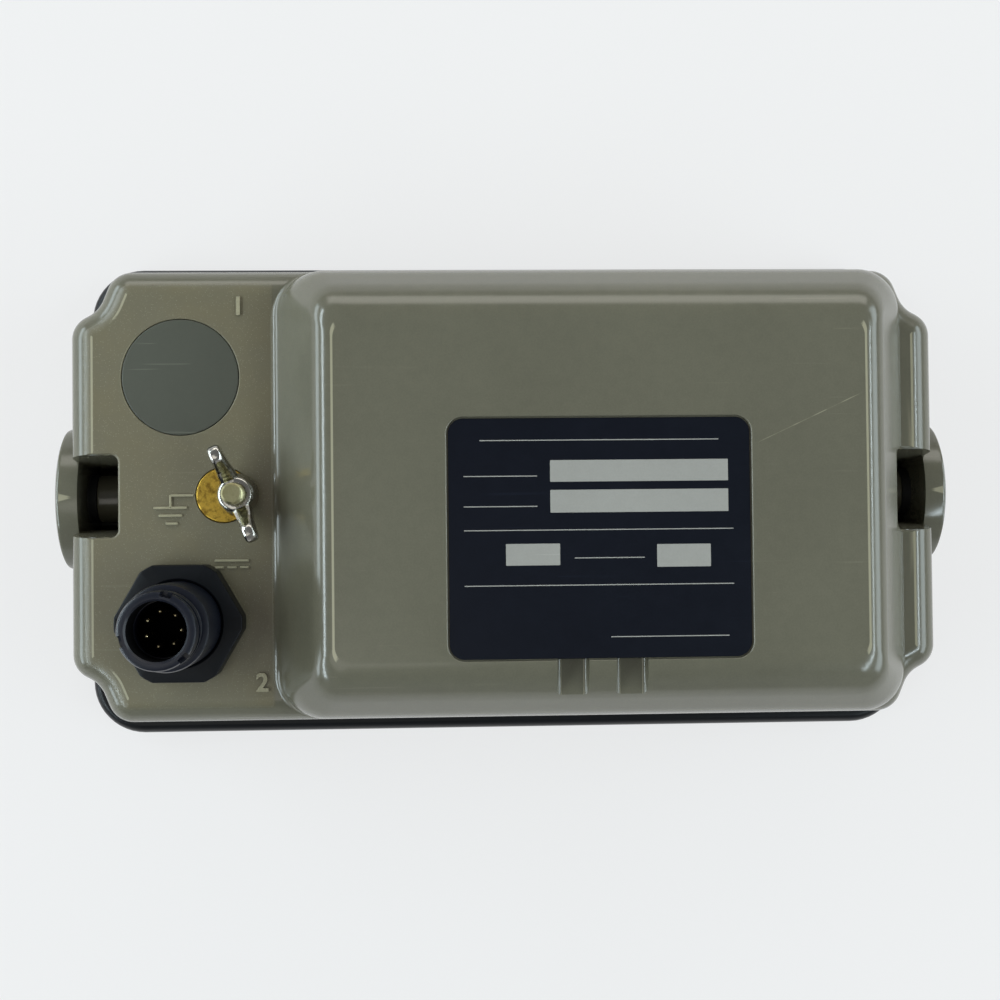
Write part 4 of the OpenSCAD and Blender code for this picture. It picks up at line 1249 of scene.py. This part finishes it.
@dataclass
class PanelMarks:
    """The raised marks on the connector panel: earth sign, direct-current sign and port numbers."""

    rise: float = 0.45
    earth_bars: tuple[Quad, ...] = (
        (-64.9, -60.4, 0.0, 0.55), (-68.2, -61.7, -2.35, 0.55), (-67.2, -62.7, -3.85, 0.55),
        (-65.9, -63.5, -5.4, 0.55),
    )
    current_bars: tuple[Quad, ...] = (
        (-56.6, -50.0, -12.6, 0.5), (-56.6, -54.8, -13.9, 0.5), (-54.2, -52.4, -13.9, 0.5),
        (-51.8, -50.0, -13.9, 0.5),
    )
    numbers: tuple[tuple[str, float, float], ...] = (("1", -51.8, 36.3), ("2", -47.6, -36.2))
    number_height: float = 4.9
    stem: Quad = (-65.2, -64.65, -1.15, 2.6)

    def bar(self, x0: float, x1: float, y: float, width: float) -> Object:
        """Builds one raised bar with sloping sides.

        Args:
            x0: Its left end.
            x1: Its right end.
            y: Its middle upwards.
            width: Its width.

        Returns:
            The new object.
        """
        outline = rectangle((x1 - x0) / 2, width / 2, min(x1 - x0, width) * 0.3, ((x0 + x1) / 2, y))
        layers = [(0, PANEL_Z - 0.1), (0.02, PANEL_Z + self.rise * 0.7), (0.12, PANEL_Z + self.rise)]
        return stacked("Bar", outline, layers, 3)

    def number(self, text: str, x: float, y: float) -> Object:
        """Builds one raised number.

        Args:
            text: The number, as text.
            x: Its middle across.
            y: Its middle upwards.

        Returns:
            The new object.
        """
        bpy.ops.object.text_add()
        obj = bpy.context.object
        obj.data.body = text
        obj.data.align_x = "CENTER"
        obj.data.align_y = "CENTER"
        obj.data.size = self.number_height * MM
        obj.data.extrude = self.rise * MM
        obj.data.bevel_depth = 0.05 * MM
        obj.data.offset = 0.08 * MM
        make_active(obj)
        bpy.ops.object.convert(target="MESH")
        return shifted(bpy.context.object, (x, y, PANEL_Z))

    def build(self) -> None:
        """Builds every mark."""
        bars = [self.bar(*b) for b in (*self.earth_bars, *self.current_bars, self.stem)]
        numbers = [self.number(*n) for n in self.numbers]
        for name, parts in (("Panel_signs", bars), ("Port_numbers", numbers)):
            fitted(joined(name, parts), Finish.MARK, "cover_paint")


@dataclass
class FrontFrame:
    """The black front frame: a rounded rim, the window's opening and the holes of keys and screws."""

    half_x: float = 87.4
    half_y: float = 49.8
    corner_r: float = 11.0
    depth: float = 8.0
    rim: float = 2.6
    back: float = 5.0
    recess: float = 1.2
    lip: float = 4.4
    window_x: float = 18.0
    window: Pair = (50.0, 32.0)
    zone: Triple = (14.0, 28.0, 2.0)
    zone_z: float = 3.4
    rebate_z: float = 2.4
    rebate_gap: float = 0.3
    foot_w: float = 1.62
    key_r: float = 1.75
    round_w: float = 1.9
    round_low: float = 3.0
    round_high: float = 2.9
    key_x: float = -59.95
    key_gap: float = 0.25
    screw_profile: tuple[Flat, ...] = ((0, 0), (3.05, 0), (3.05, 2.9), (1.6, 2.9), (1.6, 6), (0, 6))

    def profile(self) -> list[Flat]:
        """Lists how far the rim is set in at each height, as one soft round.

        Returns:
            The inset and the height of each layer, from the floor up.
        """
        low = [(self.round_w * (1 - math.sin(a)), self.round_low * (1 - math.cos(a)))
               for a in quarter_turn(6)[1:]]
        high = [(self.round_w * (1 - math.cos(a)), self.depth - self.round_high * (1 - math.sin(a)))
                for a in quarter_turn(8)]
        return [(self.foot_w, 0.0), *((w, max(z, 0.04)) for w, z in low), *high]

    def build(self, keys: Sequence[Quad]) -> None:
        """Builds the frame.

        Args:
            keys: The places and half sizes of the keys.
        """
        over = self.back + 1
        middle = (self.window_x, 0)
        shell = stacked("Front_frame", rectangle(self.half_x, self.half_y, self.corner_r),
                        [*self.profile(), (self.rim, self.depth), (self.rim, self.back)], 12)
        lip = rectangle(self.half_x - self.lip, self.half_y - self.lip, self.corner_r - self.lip)
        half_x, half_y = self.window
        gap = self.rebate_gap
        window = rectangle(half_x - 2, half_y - 2, 2, middle)
        rebate = rectangle(half_x + gap, half_y + gap, 2 + gap, middle)
        cut(shell, prism("Lip tool", rounded(lip), -1, self.recess),
            stacked("Window tool", window, [(-1.0, self.recess - 0.01), (0, self.recess + 1.0), (0, over)]),
            prism("Rebate tool", rounded(rebate), self.rebate_z, over))
        for x, y, half_x, half_y in keys:
            hole = rectangle(half_x + self.key_gap, half_y + self.key_gap, self.key_r, (x, y))
            cut(shell, prism("Key tool", rounded(hole), 0, over))
        cut(shell, *(turned("Screw tool", self.screw_profile, at, 48)
                     for at in in_four_corners(SCREW_PLACES)))
        cut(shell, prism("Zone tool", rounded(rectangle(*self.zone, (self.key_x, 0))), self.zone_z, over))
        fitted(smoothed(shell), Finish.FRAME, "frame_black", stands_for="front_frame")


class KeyMark(Enum):
    """The sign on a key."""

    UP = 90
    DOWN = -90
    LEFT = 180
    RIGHT = 0
    DOT = 1
    BARS = 2
    SUN = 3
    POWER = 4


@dataclass
class Keypad:
    """The eight keys in the front frame, each with its sign."""

    front: float = 0.5
    flange_w: float = 0.8
    flange_z: Pair = (3.45, 4.15)
    cap_r: float = 1.5
    stem: Pair = (1.4, 4.0)
    sign_drop: float = 0.07
    sign_rise: float = 0.2
    arrow: Pair = (1.7, 0.25)
    bar: Triple = (1.8, 0.25, 0.2)
    bar_pitch: float = 1.1
    gap: Triple = (0.6, 1.4, 0.1)
    gap_y: float = 1.6
    stroke: Triple = (0.25, 1.05, 0.15)
    stroke_y: float = 1.15
    crown: tuple[Flat, ...] = ((1.6, 0.0), (0.9, 0.05), (0.45, 0.18), (0.15, 0.4), (0.0, 0.75))
    rings: dict[KeyMark, tuple[Flat, ...]] = field(default_factory=lambda: {
        KeyMark.DOT: ((0.9, 1.4),), KeyMark.SUN: ((0, 1.0), (1.5, 1.8)), KeyMark.POWER: ((1.25, 1.75),),
    })
    signs: dict[str, KeyMark] = field(default_factory=lambda: {
        "up_key": KeyMark.UP, "down_key": KeyMark.DOWN, "left_key": KeyMark.LEFT, "right_key": KeyMark.RIGHT,
        "enter_key": KeyMark.DOT, "menu_key": KeyMark.BARS, "display_key": KeyMark.SUN,
        "power_key": KeyMark.POWER,
    })

    def places(self) -> list[Quad]:
        """Gives each key's middle and the half sizes of its cap, from its node.

        Returns:
            The middle and the half sizes of each cap.
        """
        found = []
        for node in self.signs:
            low, high = (Vector(c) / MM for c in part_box(node))
            middle = (low + high) / 2
            half = (high - low) / 2
            found.append((middle.x, middle.y, half.x - self.flange_w, half.y - self.flange_w))
        return found

    def cap(self, name: str, x: float, y: float, half_x: float, half_y: float, top: float) -> Object:
        """Builds a cap with a soft crowned front, its flange and its stem.

        Args:
            name: The piece's name.
            x: Its middle across.
            y: Its middle upwards.
            half_x: Half its size across.
            half_y: Half its size upwards.
            top: The height where its stem ends.

        Returns:
            The new object.
        """
        low, high = self.flange_z
        layers = [(width, self.front + drop) for width, drop in self.crown]
        layers += [(0, low), (-self.flange_w, low), (-self.flange_w, high)]
        cap = stacked(name, rectangle(half_x, half_y, self.cap_r, (x, y)), layers)
        return combined(cap, rod("Stem", *self.stem, top, (x, y), segments=32), Combine.ADD)

    def sign(self, mark: KeyMark, x: float, y: float) -> list[Object]:
        """Builds the raised sign of one key.

        Args:
            mark: The sign.
            x: Its middle across.
            y: Its middle upwards.

        Returns:
            The shapes that the sign is made of.
        """
        low, high = self.front - self.sign_drop, self.front + self.sign_rise
        if mark in (KeyMark.UP, KeyMark.DOWN, KeyMark.LEFT, KeyMark.RIGHT):
            reach, radius = self.arrow
            turns = [math.radians(mark.value + 120 * i) for i in (2, 1, 0)]
            corners = [(*on_circle((x, y), reach, angle), radius) for angle in turns]
            return [prism("Sign", rounded(corners, 4), low, high)]
        if mark is KeyMark.BARS:
            bars = [rectangle(*self.bar, (x, y + self.bar_pitch * i)) for i in (-1, 0, 1)]
            return [prism("Sign", rounded(bar, 3), low, high) for bar in bars]
        parts = [tube("Sign", radii, low, high, (x, y), 48) for radii in self.rings[mark]]
        if mark is KeyMark.POWER:
            gap = rectangle(*self.gap, (x, y + self.gap_y))
            cut(parts[0], prism("Gap", rounded(gap, 2), low - 1, high + 1))
            stroke = rectangle(*self.stroke, (x, y + self.stroke_y))
            parts.append(prism("Sign", rounded(stroke, 3), low, high))
        return parts

    def build(self) -> None:
        """Builds every key."""
        for (node, mark), (x, y, half_x, half_y) in zip(self.signs.items(), self.places()):
            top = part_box(node)[1][2] / MM
            name = node.replace("_key", "").title()
            cap = self.cap(f"{name}_key_cap", x, y, half_x, half_y, top)
            fitted(smoothed(cap), Finish.KEY, "key_grey", node, node)
            sign = joined(f"{name}_key_sign", self.sign(mark, x, y))
            fitted(smoothed(sign), Finish.SYMBOL, "key_grey", node)


@dataclass
class PortBlank:
    """The grey disc that closes the unused port."""

    radius: float = 11.2
    spigot_r: float = 8.95
    lip: float = 0.8
    depth: float = 3.6

    def build(self) -> None:
        """Builds the disc with a softly rounded rim and its spigot."""
        top, r = PANEL_Z, self.radius
        low, under = top - self.depth, top - self.lip
        profile = [(0, low), (self.spigot_r, low), (self.spigot_r, under), (r, under), (r, top - 0.3),
                   (r - 0.1, top - 0.1), (r - 0.35, top), (0, top - 0.02)]
        disc = turned("Port_disc", profile, PORT_AT, 128)
        fitted(smoothed(disc), Finish.PORT, "port_grey", stands_for="port_blank")


@dataclass
class LabelPlate:
    """The dark label with bare silver fields and thin rules."""

    half: Flat = (28.0, 22.2)
    radius: float = 2.8
    bevel: float = 0.08
    rule_half: float = 0.09
    film_sunk: float = 0.02
    film_rise: float = 0.02
    film_bevel: Pair = (0.015, 0.008)
    film_radii: Pair = (0.12, 0.04)
    low: float = 57.7
    top: float = 58.1
    fields: tuple[Quad, ...] = (
        (7.0, 40.1, 1.5, 5.5), (7.0, 40.1, -4.2, 0.0), (-1.3, 8.7, -13.9, -9.9), (26.7, 36.7, -14.4, -10.2),
    )
    rules: tuple[Triple, ...] = (
        (-6.0, 38.4, 9.2), (-9.0, 4.6, 2.6), (-9.0, 4.6, -3.0), (-9.0, 41.0, -7.4), (11.4, 24.4, -12.6),
        (-9.0, 41.0, -17.6), (18.0, 40.0, -27.2),
    )

    def build(self) -> None:
        """Builds the plate, its fields and its rules."""
        layers = [(0, self.low), (0, self.top - self.bevel), (self.bevel, self.top)]
        plate = stacked("Label_plate", rectangle(*self.half, self.radius, LABEL_AT), layers, 10)
        fitted(smoothed(plate), Finish.LABEL, "label_dark", stands_for="label_plate")
        field_r, rule_r = self.film_radii
        half = self.rule_half
        films = [self.film(*span, field_r) for span in self.fields]
        films += [self.film(x0, x1, y - half, y + half, rule_r) for x0, x1, y in self.rules]
        fitted(joined("Label_fields", films), Finish.SILVER, "label_dark")

    def film(self, x0: float, x1: float, y0: float, y1: float, radius: float) -> Object:
        """Builds one thin film on the plate.

        Args:
            x0: Its left end.
            x1: Its right end.
            y0: Its lower end.
            y1: Its upper end.
            radius: Its radius.

        Returns:
            The new object.
        """
        corners = rectangle((x1 - x0) / 2, (y1 - y0) / 2, radius, ((x0 + x1) / 2, (y0 + y1) / 2))
        width, drop = self.film_bevel
        high = self.top + self.film_rise
        layers = [(0, self.top - self.film_sunk), (0, high - drop), (width, high)]
        return stacked("Film", corners, layers, 3)


@dataclass
class EarthTerminal:
    """The earth terminal: brass plate, threaded stud, lock washer and wing nut."""

    plate_r: float = 5.3
    plate_z: Pair = (42.0, 43.2)
    stud_z: Pair = (35.4, 54.2)
    stud_r: float = 2.0
    pitch: float = 0.7
    washer_z: Pair = (43.25, 44.2)
    nut_z: float = 44.25
    turn: float = math.radians(113.0)
    hole_r: float = 2.05
    thread_z: Pair = (47.5, 55.5)
    thread_r: Pair = (1.72, 2.2)
    thread_half: float = 0.36
    washer_radii: Pair = (2.1, 3.6)
    washer_edge: float = 0.1
    teeth: int = 12
    tooth_gap: Triple = (0.8, 0.22, 0.15)
    nut_height: float = 4.4
    nut_profile: tuple[Flat, ...] = ((3.9, 0), (4.1, 0.2), (4.0, 1.4), (3.5, 3.4), (3.2, 4.2), (2.9, 4.4))
    nut_edge: float = 0.22
    wing_tip: float = 1.2
    wing_root: float = 1.9
    wing_taper: Pair = (6.4, 3.6)
    wing_corners: tuple[Corner, ...] = (
        (2.3, 0.9, 0), (3.4, 0.8, 0.8), (6.6, 2.3, 2.0), (9.75, 5.6, 1.7), (9.7, 9.5, 1.6), (6.6, 9.3, 1.6),
        (4.6, 6.2, 2.2), (2.6, 4.3, 0),
    )
    wing_layers: tuple[Flat, ...] = (
        (-1.0, 0.6), (-0.85, 0.22), (-0.5, 0.0), (0.5, 0.0), (0.85, 0.22), (1.0, 0.6),
    )

    def thread_tool(self, low: float, high: float) -> Object:
        """Builds the wedge that winds up the stud and cuts its thread.

        Args:
            low: The height where it starts.
            high: The height where it ends.

        Returns:
            The cutter.
        """
        steps = 24
        root, outer = self.thread_r
        rings = []
        for i in range(int((high - low) / self.pitch * steps) + 1):
            z = low + self.pitch * i / steps
            section = ((root, z), (outer, z - self.thread_half), (outer, z + self.thread_half))
            rings.append([(*on_circle(STUD_AT, r, math.tau * i / steps), h) for r, h in section])
        return loft("Thread tool", rings)

    def wing(self, side: float) -> Object:
        """Builds one wing, thick at its root and rounded at its rim.

        Args:
            side: 1 or -1, the way that it points before the nut is turned.

        Returns:
            The wing, at the nut's place.
        """
        outline = rounded(self.wing_corners, 5)
        rings = []
        for share, width in self.wing_layers:
            points = rounded(inset(self.wing_corners[::-1], width), 5)[::-1] if width else outline
            rings.append([(side * px, share * self.wing_half(px), self.nut_z + pz) for px, pz in points])
        return loft("Wing", rings)

    def wing_half(self, reach: float) -> float:
        """Gives half the thickness of a wing at one distance from the stud.

        Args:
            reach: The distance from the stud.

        Returns:
            Half the thickness, in millimetres.
        """
        end, length = self.wing_taper
        share = max(0.0, min(1.0, (end - reach) / length))
        return self.wing_tip + (self.wing_root - self.wing_tip) * share

    def build(self) -> None:
        """Builds the terminal's pieces."""
        low, top = self.plate_z
        profile = [(0, low), (self.plate_r, low), *broken_rim(self.plate_r, top, 0.4, 0.12), (0, top)]
        plate = turned("Earth_plate", profile, EARTH_PLATE_AT, 96)
        cut(plate, rod("Plate hole", self.hole_r, low - 1, top + 1, STUD_AT))
        fitted(smoothed(plate), Finish.BRASS, "brass", stands_for="earth_plate")
        stud = rod("Earth_stud", self.stud_r, *self.stud_z, at=STUD_AT, chamfer=0.4, segments=48)
        cut(stud, self.thread_tool(*self.thread_z))
        fitted(smoothed(stud, 25), Finish.STUD, "steel", stands_for="earth_stud")
        self.build_washer()
        self.build_nut()

    def build_washer(self) -> None:
        """Builds the toothed lock washer."""
        low, high = self.washer_z
        inner, outer = self.washer_radii
        edge = self.washer_edge
        profile = [(inner, low), (outer - edge, low), (outer, low + edge), (outer, high - edge),
                   (outer - edge, high), (inner, high)]
        washer = turned("Toothed_washer", profile, STUD_AT, 96)
        for i in range(self.teeth):
            tool = prism("Gap", rounded(rectangle(*self.tooth_gap), 3), low - 1, high + 1)
            cut(washer, swung(tool, math.tau * i / self.teeth, STUD_AT, outer))
        fitted(smoothed(washer), Finish.STEEL, "steel", "lock_washer", "lock_washer")

    def build_nut(self) -> None:
        """Builds the wing nut about the origin and turns it into its place."""
        low = self.nut_z
        profile = [(0, low), *((r, low + z) for r, z in self.nut_profile), (0, low + self.nut_height)]
        nut = turned("Wing_nut", profile, segments=72)
        for side in (1.0, -1.0):
            combined(nut, self.wing(side), Combine.ADD)
        cut(nut, rod("Nut hole", self.hole_r, low - 1, low + 12))
        edged(swung(nut, self.turn, STUD_AT), self.nut_edge, 3, 50)
        fitted(smoothed(nut, 40), Finish.CAST, "steel", "wing_nut", "wing_nut")


@dataclass
class ConnectorPort:
    """The round connector: body with bayonet grooves, nut, insert and pins."""

    foot: float = 34.5
    mouth: float = 73.2
    collar_top: float = 64.0
    ring_low: float = 66.8
    socket_r: float = 5.3
    socket_low: float = 66.0
    collar_r: float = 8.0
    neck_r: float = 6.3
    ring_r: float = 7.0
    nut_low: float = 43.0
    nut_t: float = 6.2
    nut_flats: float = 22.1
    nut_corner: float = 1.0
    insert_top: float = 58.0
    pin_tip: float = 65.8
    pin_foot: float = 34.0
    pin_circle: float = 3.25
    pin_count: int = 7
    pin_turn: float = -3.0
    back_r: float = 5.05
    shank_r: float = 7.2
    flange_r: float = 10.6
    flange_z: Pair = (37.4, 39.4)
    insert_r: float = 5.0
    pin_r: float = 0.5
    pin_gap: float = 0.03
    sink_r: float = 0.85
    starts: tuple[float, ...] = (75.0, 195.0, 315.0)
    entry: Triple = (1.4, 1.05, 0.25)
    entry_x: float = 7.45
    entry_depth: float = 2.2
    groove_top: float = 1.4
    groove_haste: float = 1.15
    groove_radii: Pair = (6.15, 7.6)
    groove_half: float = 0.85
    groove_sweep: float = 118
    groove_drop: float = 3.0
    bore_r: float = 8.05
    lining_t: float = 0.06

    def body(self) -> Object:
        """Builds the body with its collar, neck and mouth ring.

        Returns:
            The new object.
        """
        low, high = self.flange_z
        profile = [
            (self.back_r, self.foot), (self.shank_r, self.foot), (self.shank_r, low), (self.flange_r, low),
            (self.flange_r, high), (self.collar_r, high),
            *broken_rim(self.collar_r, self.collar_top, 0.7, 0.2), (self.neck_r + 0.3, self.collar_top),
            (self.neck_r, self.collar_top + 0.3), (self.neck_r, self.ring_low - 0.2),
            (self.neck_r + 0.2, self.ring_low), (self.ring_r - 0.2, self.ring_low),
            (self.ring_r, self.ring_low + 0.2), (self.ring_r, self.mouth - 0.6),
            (self.ring_r - 0.2, self.mouth - 0.18), (self.ring_r - 0.6, self.mouth),
            (self.socket_r + 0.35, self.mouth), (self.socket_r, self.mouth - 0.35),
            (self.socket_r, self.socket_low), (self.back_r, self.socket_low),
        ]
        return turned("Connector_body", profile, CONNECTOR_AT, 128)

    def groove_tool(self, start: float) -> Object:
        """Builds the cutter of one bayonet groove, which enters at the mouth and winds down.

        Args:
            start: The angle where it begins, in degrees.

        Returns:
            The cutter.
        """
        steps = 24
        inner, outer = self.groove_radii
        rings = []
        for share in (i / steps for i in range(steps + 1)):
            angle = math.radians(start - self.groove_sweep * share)
            middle = self.mouth - self.groove_top - self.groove_drop * min(1.0, share * self.groove_haste)
            low, high = middle - self.groove_half, middle + self.groove_half
            section = ((inner, low), (outer, low), (outer, high), (inner, high))
            rings.append([(*on_circle(CONNECTOR_AT, r, angle), z) for r, z in section])
        return loft("Groove tool", rings)

    def entry_tool(self, start: float) -> Object:
        """Builds the cutter of one groove's entry slot.

        Args:
            start: The angle where it begins, in degrees.

        Returns:
            The cutter.
        """
        outline = rounded(rectangle(*self.entry, (self.entry_x, 0)), 3)
        tool = prism("Entry tool", outline, self.mouth - self.entry_depth, self.mouth + 1)
        return swung(tool, math.radians(start), CONNECTOR_AT)

    def nut(self) -> Object:
        """Builds the hexagon nut, whose corners are cut off by a round rim.

        Returns:
            The new object.
        """
        flat_r = self.nut_flats / 2
        corner_r = flat_r / math.cos(math.pi / 6)
        corners = [(*on_circle(CONNECTOR_AT, corner_r, math.radians(-60 * i)), 0.0) for i in range(6)]
        low, top = self.nut_low, self.nut_low + self.nut_t
        nut = stacked("Connector_nut", corners, [(0, low), (0, top - 0.35), (0.1, top - 0.1), (0.35, top)])
        rim = flat_r + self.nut_corner
        cone = [(0, low - 1), (rim, low - 1), *broken_rim(rim, top, 0.35, 0.1), (0, top)]
        combined(nut, turned("Nut rim", cone, CONNECTOR_AT, 128), Combine.KEEP)
        wide = self.bore_r + 0.5
        bore = [(0, low - 1), (self.bore_r, low - 1), (self.bore_r, top - 0.5), (wide, top), (wide, top + 1),
                (0, top + 1)]
        return cut(nut, turned("Nut bore", bore, CONNECTOR_AT, 96))

    def lining(self) -> Object:
        """Builds the thin black lining of the socket."""
        outer = self.socket_r - 0.01
        return tube("Socket_lining", (outer - self.lining_t, outer), self.insert_top + 0.05,
                    self.mouth - 0.45, CONNECTOR_AT)

    def pin_angles(self) -> list[float]:
        """Lists the angle of each pin round the socket, in radians."""
        return [math.radians(self.pin_turn + 360 * i / self.pin_count) for i in range(self.pin_count)]

    def pins(self) -> Object:
        """Builds the contacts from one pin, copied round their circle.

        Returns:
            The pins, as one piece.
        """
        tip, r = self.pin_tip, self.pin_r
        nose = [(r * math.cos(a), tip - r + r * math.sin(a)) for a in quarter_turn(5)[1:5]]
        profile = [(0, self.pin_foot), (r, self.pin_foot), (r, tip - r), *nose, (0, tip)]
        pin = turned("Contact_pins", profile, (self.pin_circle, 0), 24)
        pins = []
        for angle in self.pin_angles():
            copy = bpy.data.objects.new("Pin", pin.data.copy())
            bpy.context.collection.objects.link(copy)
            pins.append(swung(copy, angle, CONNECTOR_AT))
        bpy.data.objects.remove(pin, do_unlink=True)
        return joined("Contact_pins", pins)

    def insert(self) -> Object:
        """Builds the insert with a countersunk hole round each pin.

        Returns:
            The new object.
        """
        low, top = self.foot + 0.3, self.insert_top
        r, edge = self.insert_r, 0.2
        block = turned("Pin_insert", [(0, low), (r, low), (r, top - edge), (r - edge, top), (0, top)],
                       CONNECTOR_AT, 96)
        hole_r, end = self.pin_r + self.pin_gap, 30
        hole = [(0, end), (hole_r, end), (hole_r, top - 0.3), (self.sink_r, top + 0.1), (0, top + 0.1)]
        places = [on_circle(CONNECTOR_AT, self.pin_circle, angle) for angle in self.pin_angles()]
        return cut(block, *(turned("Pin hole", hole, at, 24) for at in places))

    def build(self) -> None:
        """Builds the connector's pieces."""
        body = cut(self.body(), *(self.entry_tool(start) for start in self.starts))
        cut(body, *(self.groove_tool(start) for start in self.starts))
        for piece, finish, slot, node in (
                (body, Finish.NAVY, "connector_navy", "connector_body"),
                (self.nut(), Finish.NUT, "connector_navy", "connector_nut"),
                (self.lining(), Finish.INSERT, "insert_grey", None),
                (self.insert(), Finish.INSERT, "insert_grey", "connector_insert"),
                (self.pins(), Finish.GOLD, "contact_gold", "connector_pins")):
            fitted(smoothed(piece), finish, slot, stands_for=node)


@dataclass
class CarriedParts:
    """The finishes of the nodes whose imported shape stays."""

    nodes_in: dict[Finish, str] = field(default_factory=lambda: {
        Finish.FRAME: "screw_caps",
        Finish.STEEL: "case_screws lcd_frame lcd_screws key_switches keypad_screws main_board_screws "
                      "shield_can backup_battery power_board_screws io_board_screws earth_inner_nut",
        Finish.RUBBER: "case_gasket window_seal keypad_mat harness connector_seal",
        Finish.WINDOW: "display_window",
        Finish.SCREEN: "lcd_glass",
        Finish.WHITE: "lcd_backlight link_cable harness_plug",
        Finish.BOARD: "keypad_board main_board power_board io_board",
        Finish.BRASS: "main_board_spacers io_board_posts left_bracket_insert right_bracket_insert "
                      "earth_strap",
        Finish.BLACK: "main_board_chips power_board_parts io_board_parts buzzer",
    })

    def build(self) -> None:
        """Gives each node its finish by its material slots."""
        for finish, nodes in self.nodes_in.items():
            for node in nodes.split():
                cover(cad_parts[node], finish)
                log.info("%s: packed shape, finish %s", node, finish.value.name)


@dataclass
class Studio:
    """The floor, lights and camera."""

    eye: Place = (-15.693, -8.438, 346.482)
    look: Place = (16.086, 8.009, -346.482)
    top: Place = (0.00935, 0.99968, 0.02354)
    lens: float = 56.41
    sensor: float = 36.0
    floor_half: float = 6.0
    floor_drop: float = 0.0002
    floor_tone: float = 0.83
    backdrop: float = 0.845
    floor_glow: float = 0.82
    cool: Place = (0.8, 0.94, 1.0)
    warm: Place = (1.0, 0.97, 0.9)
    room: Place = (0.97, 0.99, 1.0)
    horizon: float = 0.4
    zenith: float = 0.2
    aim: Place = (0, 0, 0.04)

    def build(self) -> None:
        """Sets up the whole studio."""
        self.camera()
        self.floor()
        self.world()
        for name, place, size, power, colour in (
                ("Left strip", (-0.6, 0.0, 0.52), (1.2, 0.09), 4.8, self.cool),
                ("Left window", (-0.85, 0.1, 0.22), (1.2, 0.24), 4.4, self.cool),
                ("Right softbox", (0.68, 0.0, 0.36), (1.0, 0.28), 3.5, self.cool),
                ("Right strip", (0.5, -0.15, 0.62), (0.8, 0.035), 2.0, self.cool),
                ("Top softbox", (0.1, 0.85, 0.45), (1.2, 0.35), 3.0, self.warm),
                ("Ceiling", (-0.3, -0.3, 1.3), (0.5, 0.5), 0.8, self.warm)):
            self.lamp(name, place, size, power, colour)
        bpy.context.scene.view_settings.view_transform = "Standard"

    def camera(self) -> None:
        """Adds the camera where the photograph was taken from."""
        data = bpy.data.cameras.new("Camera")
        data.lens = self.lens
        data.sensor_width = self.sensor
        data.clip_start = 0.01
        data.clip_end = 50
        forward = Vector(self.look).normalized()
        right = forward.cross(Vector(self.top)).normalized()
        up = right.cross(forward)
        obj = bpy.data.objects.new("Camera", data)
        turn = Matrix((right, up, -forward)).transposed().to_4x4()
        obj.matrix_world = Matrix.Translation(metres(self.eye)) @ turn
        bpy.context.scene.collection.objects.link(obj)
        bpy.context.scene.camera = obj

    def floor(self) -> None:
        """Adds the pale floor, which keeps the unit's shadow."""
        bpy.ops.mesh.primitive_plane_add(size=2 * self.floor_half, location=(0, 0, -self.floor_drop))
        plane = bpy.context.object
        plane.name = "Floor"
        material, wiring, shader = new_material("Pale floor")
        wiring.feed(shader, {"Base Color": (self.floor_tone,) * 3 + (1,), "Roughness": 0.9,
                             "Specular IOR Level": 0.1})
        rays = wiring.add("ShaderNodeLightPath").outputs
        seen = wiring.sum("MAXIMUM", rays["Is Camera Ray"], rays["Is Glossy Ray"])
        seen = wiring.sum("MAXIMUM", seen, rays["Is Transmission Ray"])
        glow = wiring.add("ShaderNodeEmission", {"Color": (self.backdrop,) * 3 + (1,), "Strength": 1.0})
        blend = wiring.add("ShaderNodeMixShader", {0: wiring.product(seen, self.floor_glow),
                                                   1: shader.outputs[0], 2: glow.outputs[0]})
        wiring.feed(wiring.tree.nodes["Material Output"], {0: blend.outputs[0]})
        plane.data.materials.append(material)

    def world(self) -> None:
        """Adds the even light of a pale room."""
        world = bpy.data.worlds.new("Pale room")
        bpy.context.scene.world = world
        world.use_nodes = True
        wiring = Wiring(world.node_tree)
        nodes = world.node_tree.nodes
        room = nodes["Background"]
        height = wiring.axes(wiring.place_around())[2]
        wiring.feed(room, {"Strength": wiring.ranged(height, 0.35, 0.75, self.horizon, self.zenith),
                           "Color": (*self.room, 1)})
        seen = wiring.add("ShaderNodeBackground", {"Color": (self.backdrop,) * 3 + (1,), "Strength": 1.0})
        rays = wiring.add("ShaderNodeLightPath").outputs
        blend = wiring.add("ShaderNodeMixShader", {0: rays["Is Camera Ray"], 1: room.outputs[0],
                                                   2: seen.outputs[0]})
        wiring.feed(nodes["World Output"], {0: blend.outputs[0]})

    def lamp(self, name: str, place: Place, size: Flat, power: float, colour: Place) -> None:
        """Adds one soft lamp.

        Args:
            name: The lamp's name.
            place: Where it hangs, in metres.
            size: Its width and height, in metres.
            power: Its power, in watts.
            colour: Its tint.
        """
        data = bpy.data.lights.new(name, "AREA")
        data.shape = "RECTANGLE"
        data.size, data.size_y = size
        data.energy = power
        data.color = colour
        obj = bpy.data.objects.new(name, data)
        away = Vector(place) - Vector(self.aim)
        obj.matrix_world = Matrix.Translation(place) @ away.to_track_quat("Z", "Y").to_matrix().to_4x4()
        bpy.context.scene.collection.objects.link(obj)


def main() -> None:
    """Builds every sub-assembly in order."""
    logging.basicConfig(level=logging.INFO, format="%(name)s %(message)s", stream=sys.stdout)
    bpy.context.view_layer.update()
    Studio().build()
    CoverShell().build()
    PanelMarks().build()
    keypad = Keypad()
    FrontFrame().build(keypad.places())
    keypad.build()
    PortBlank().build()
    LabelPlate().build()
    EarthTerminal().build()
    ConnectorPort().build()
    CarriedParts().build()


if __name__ == "__main__":
    main()
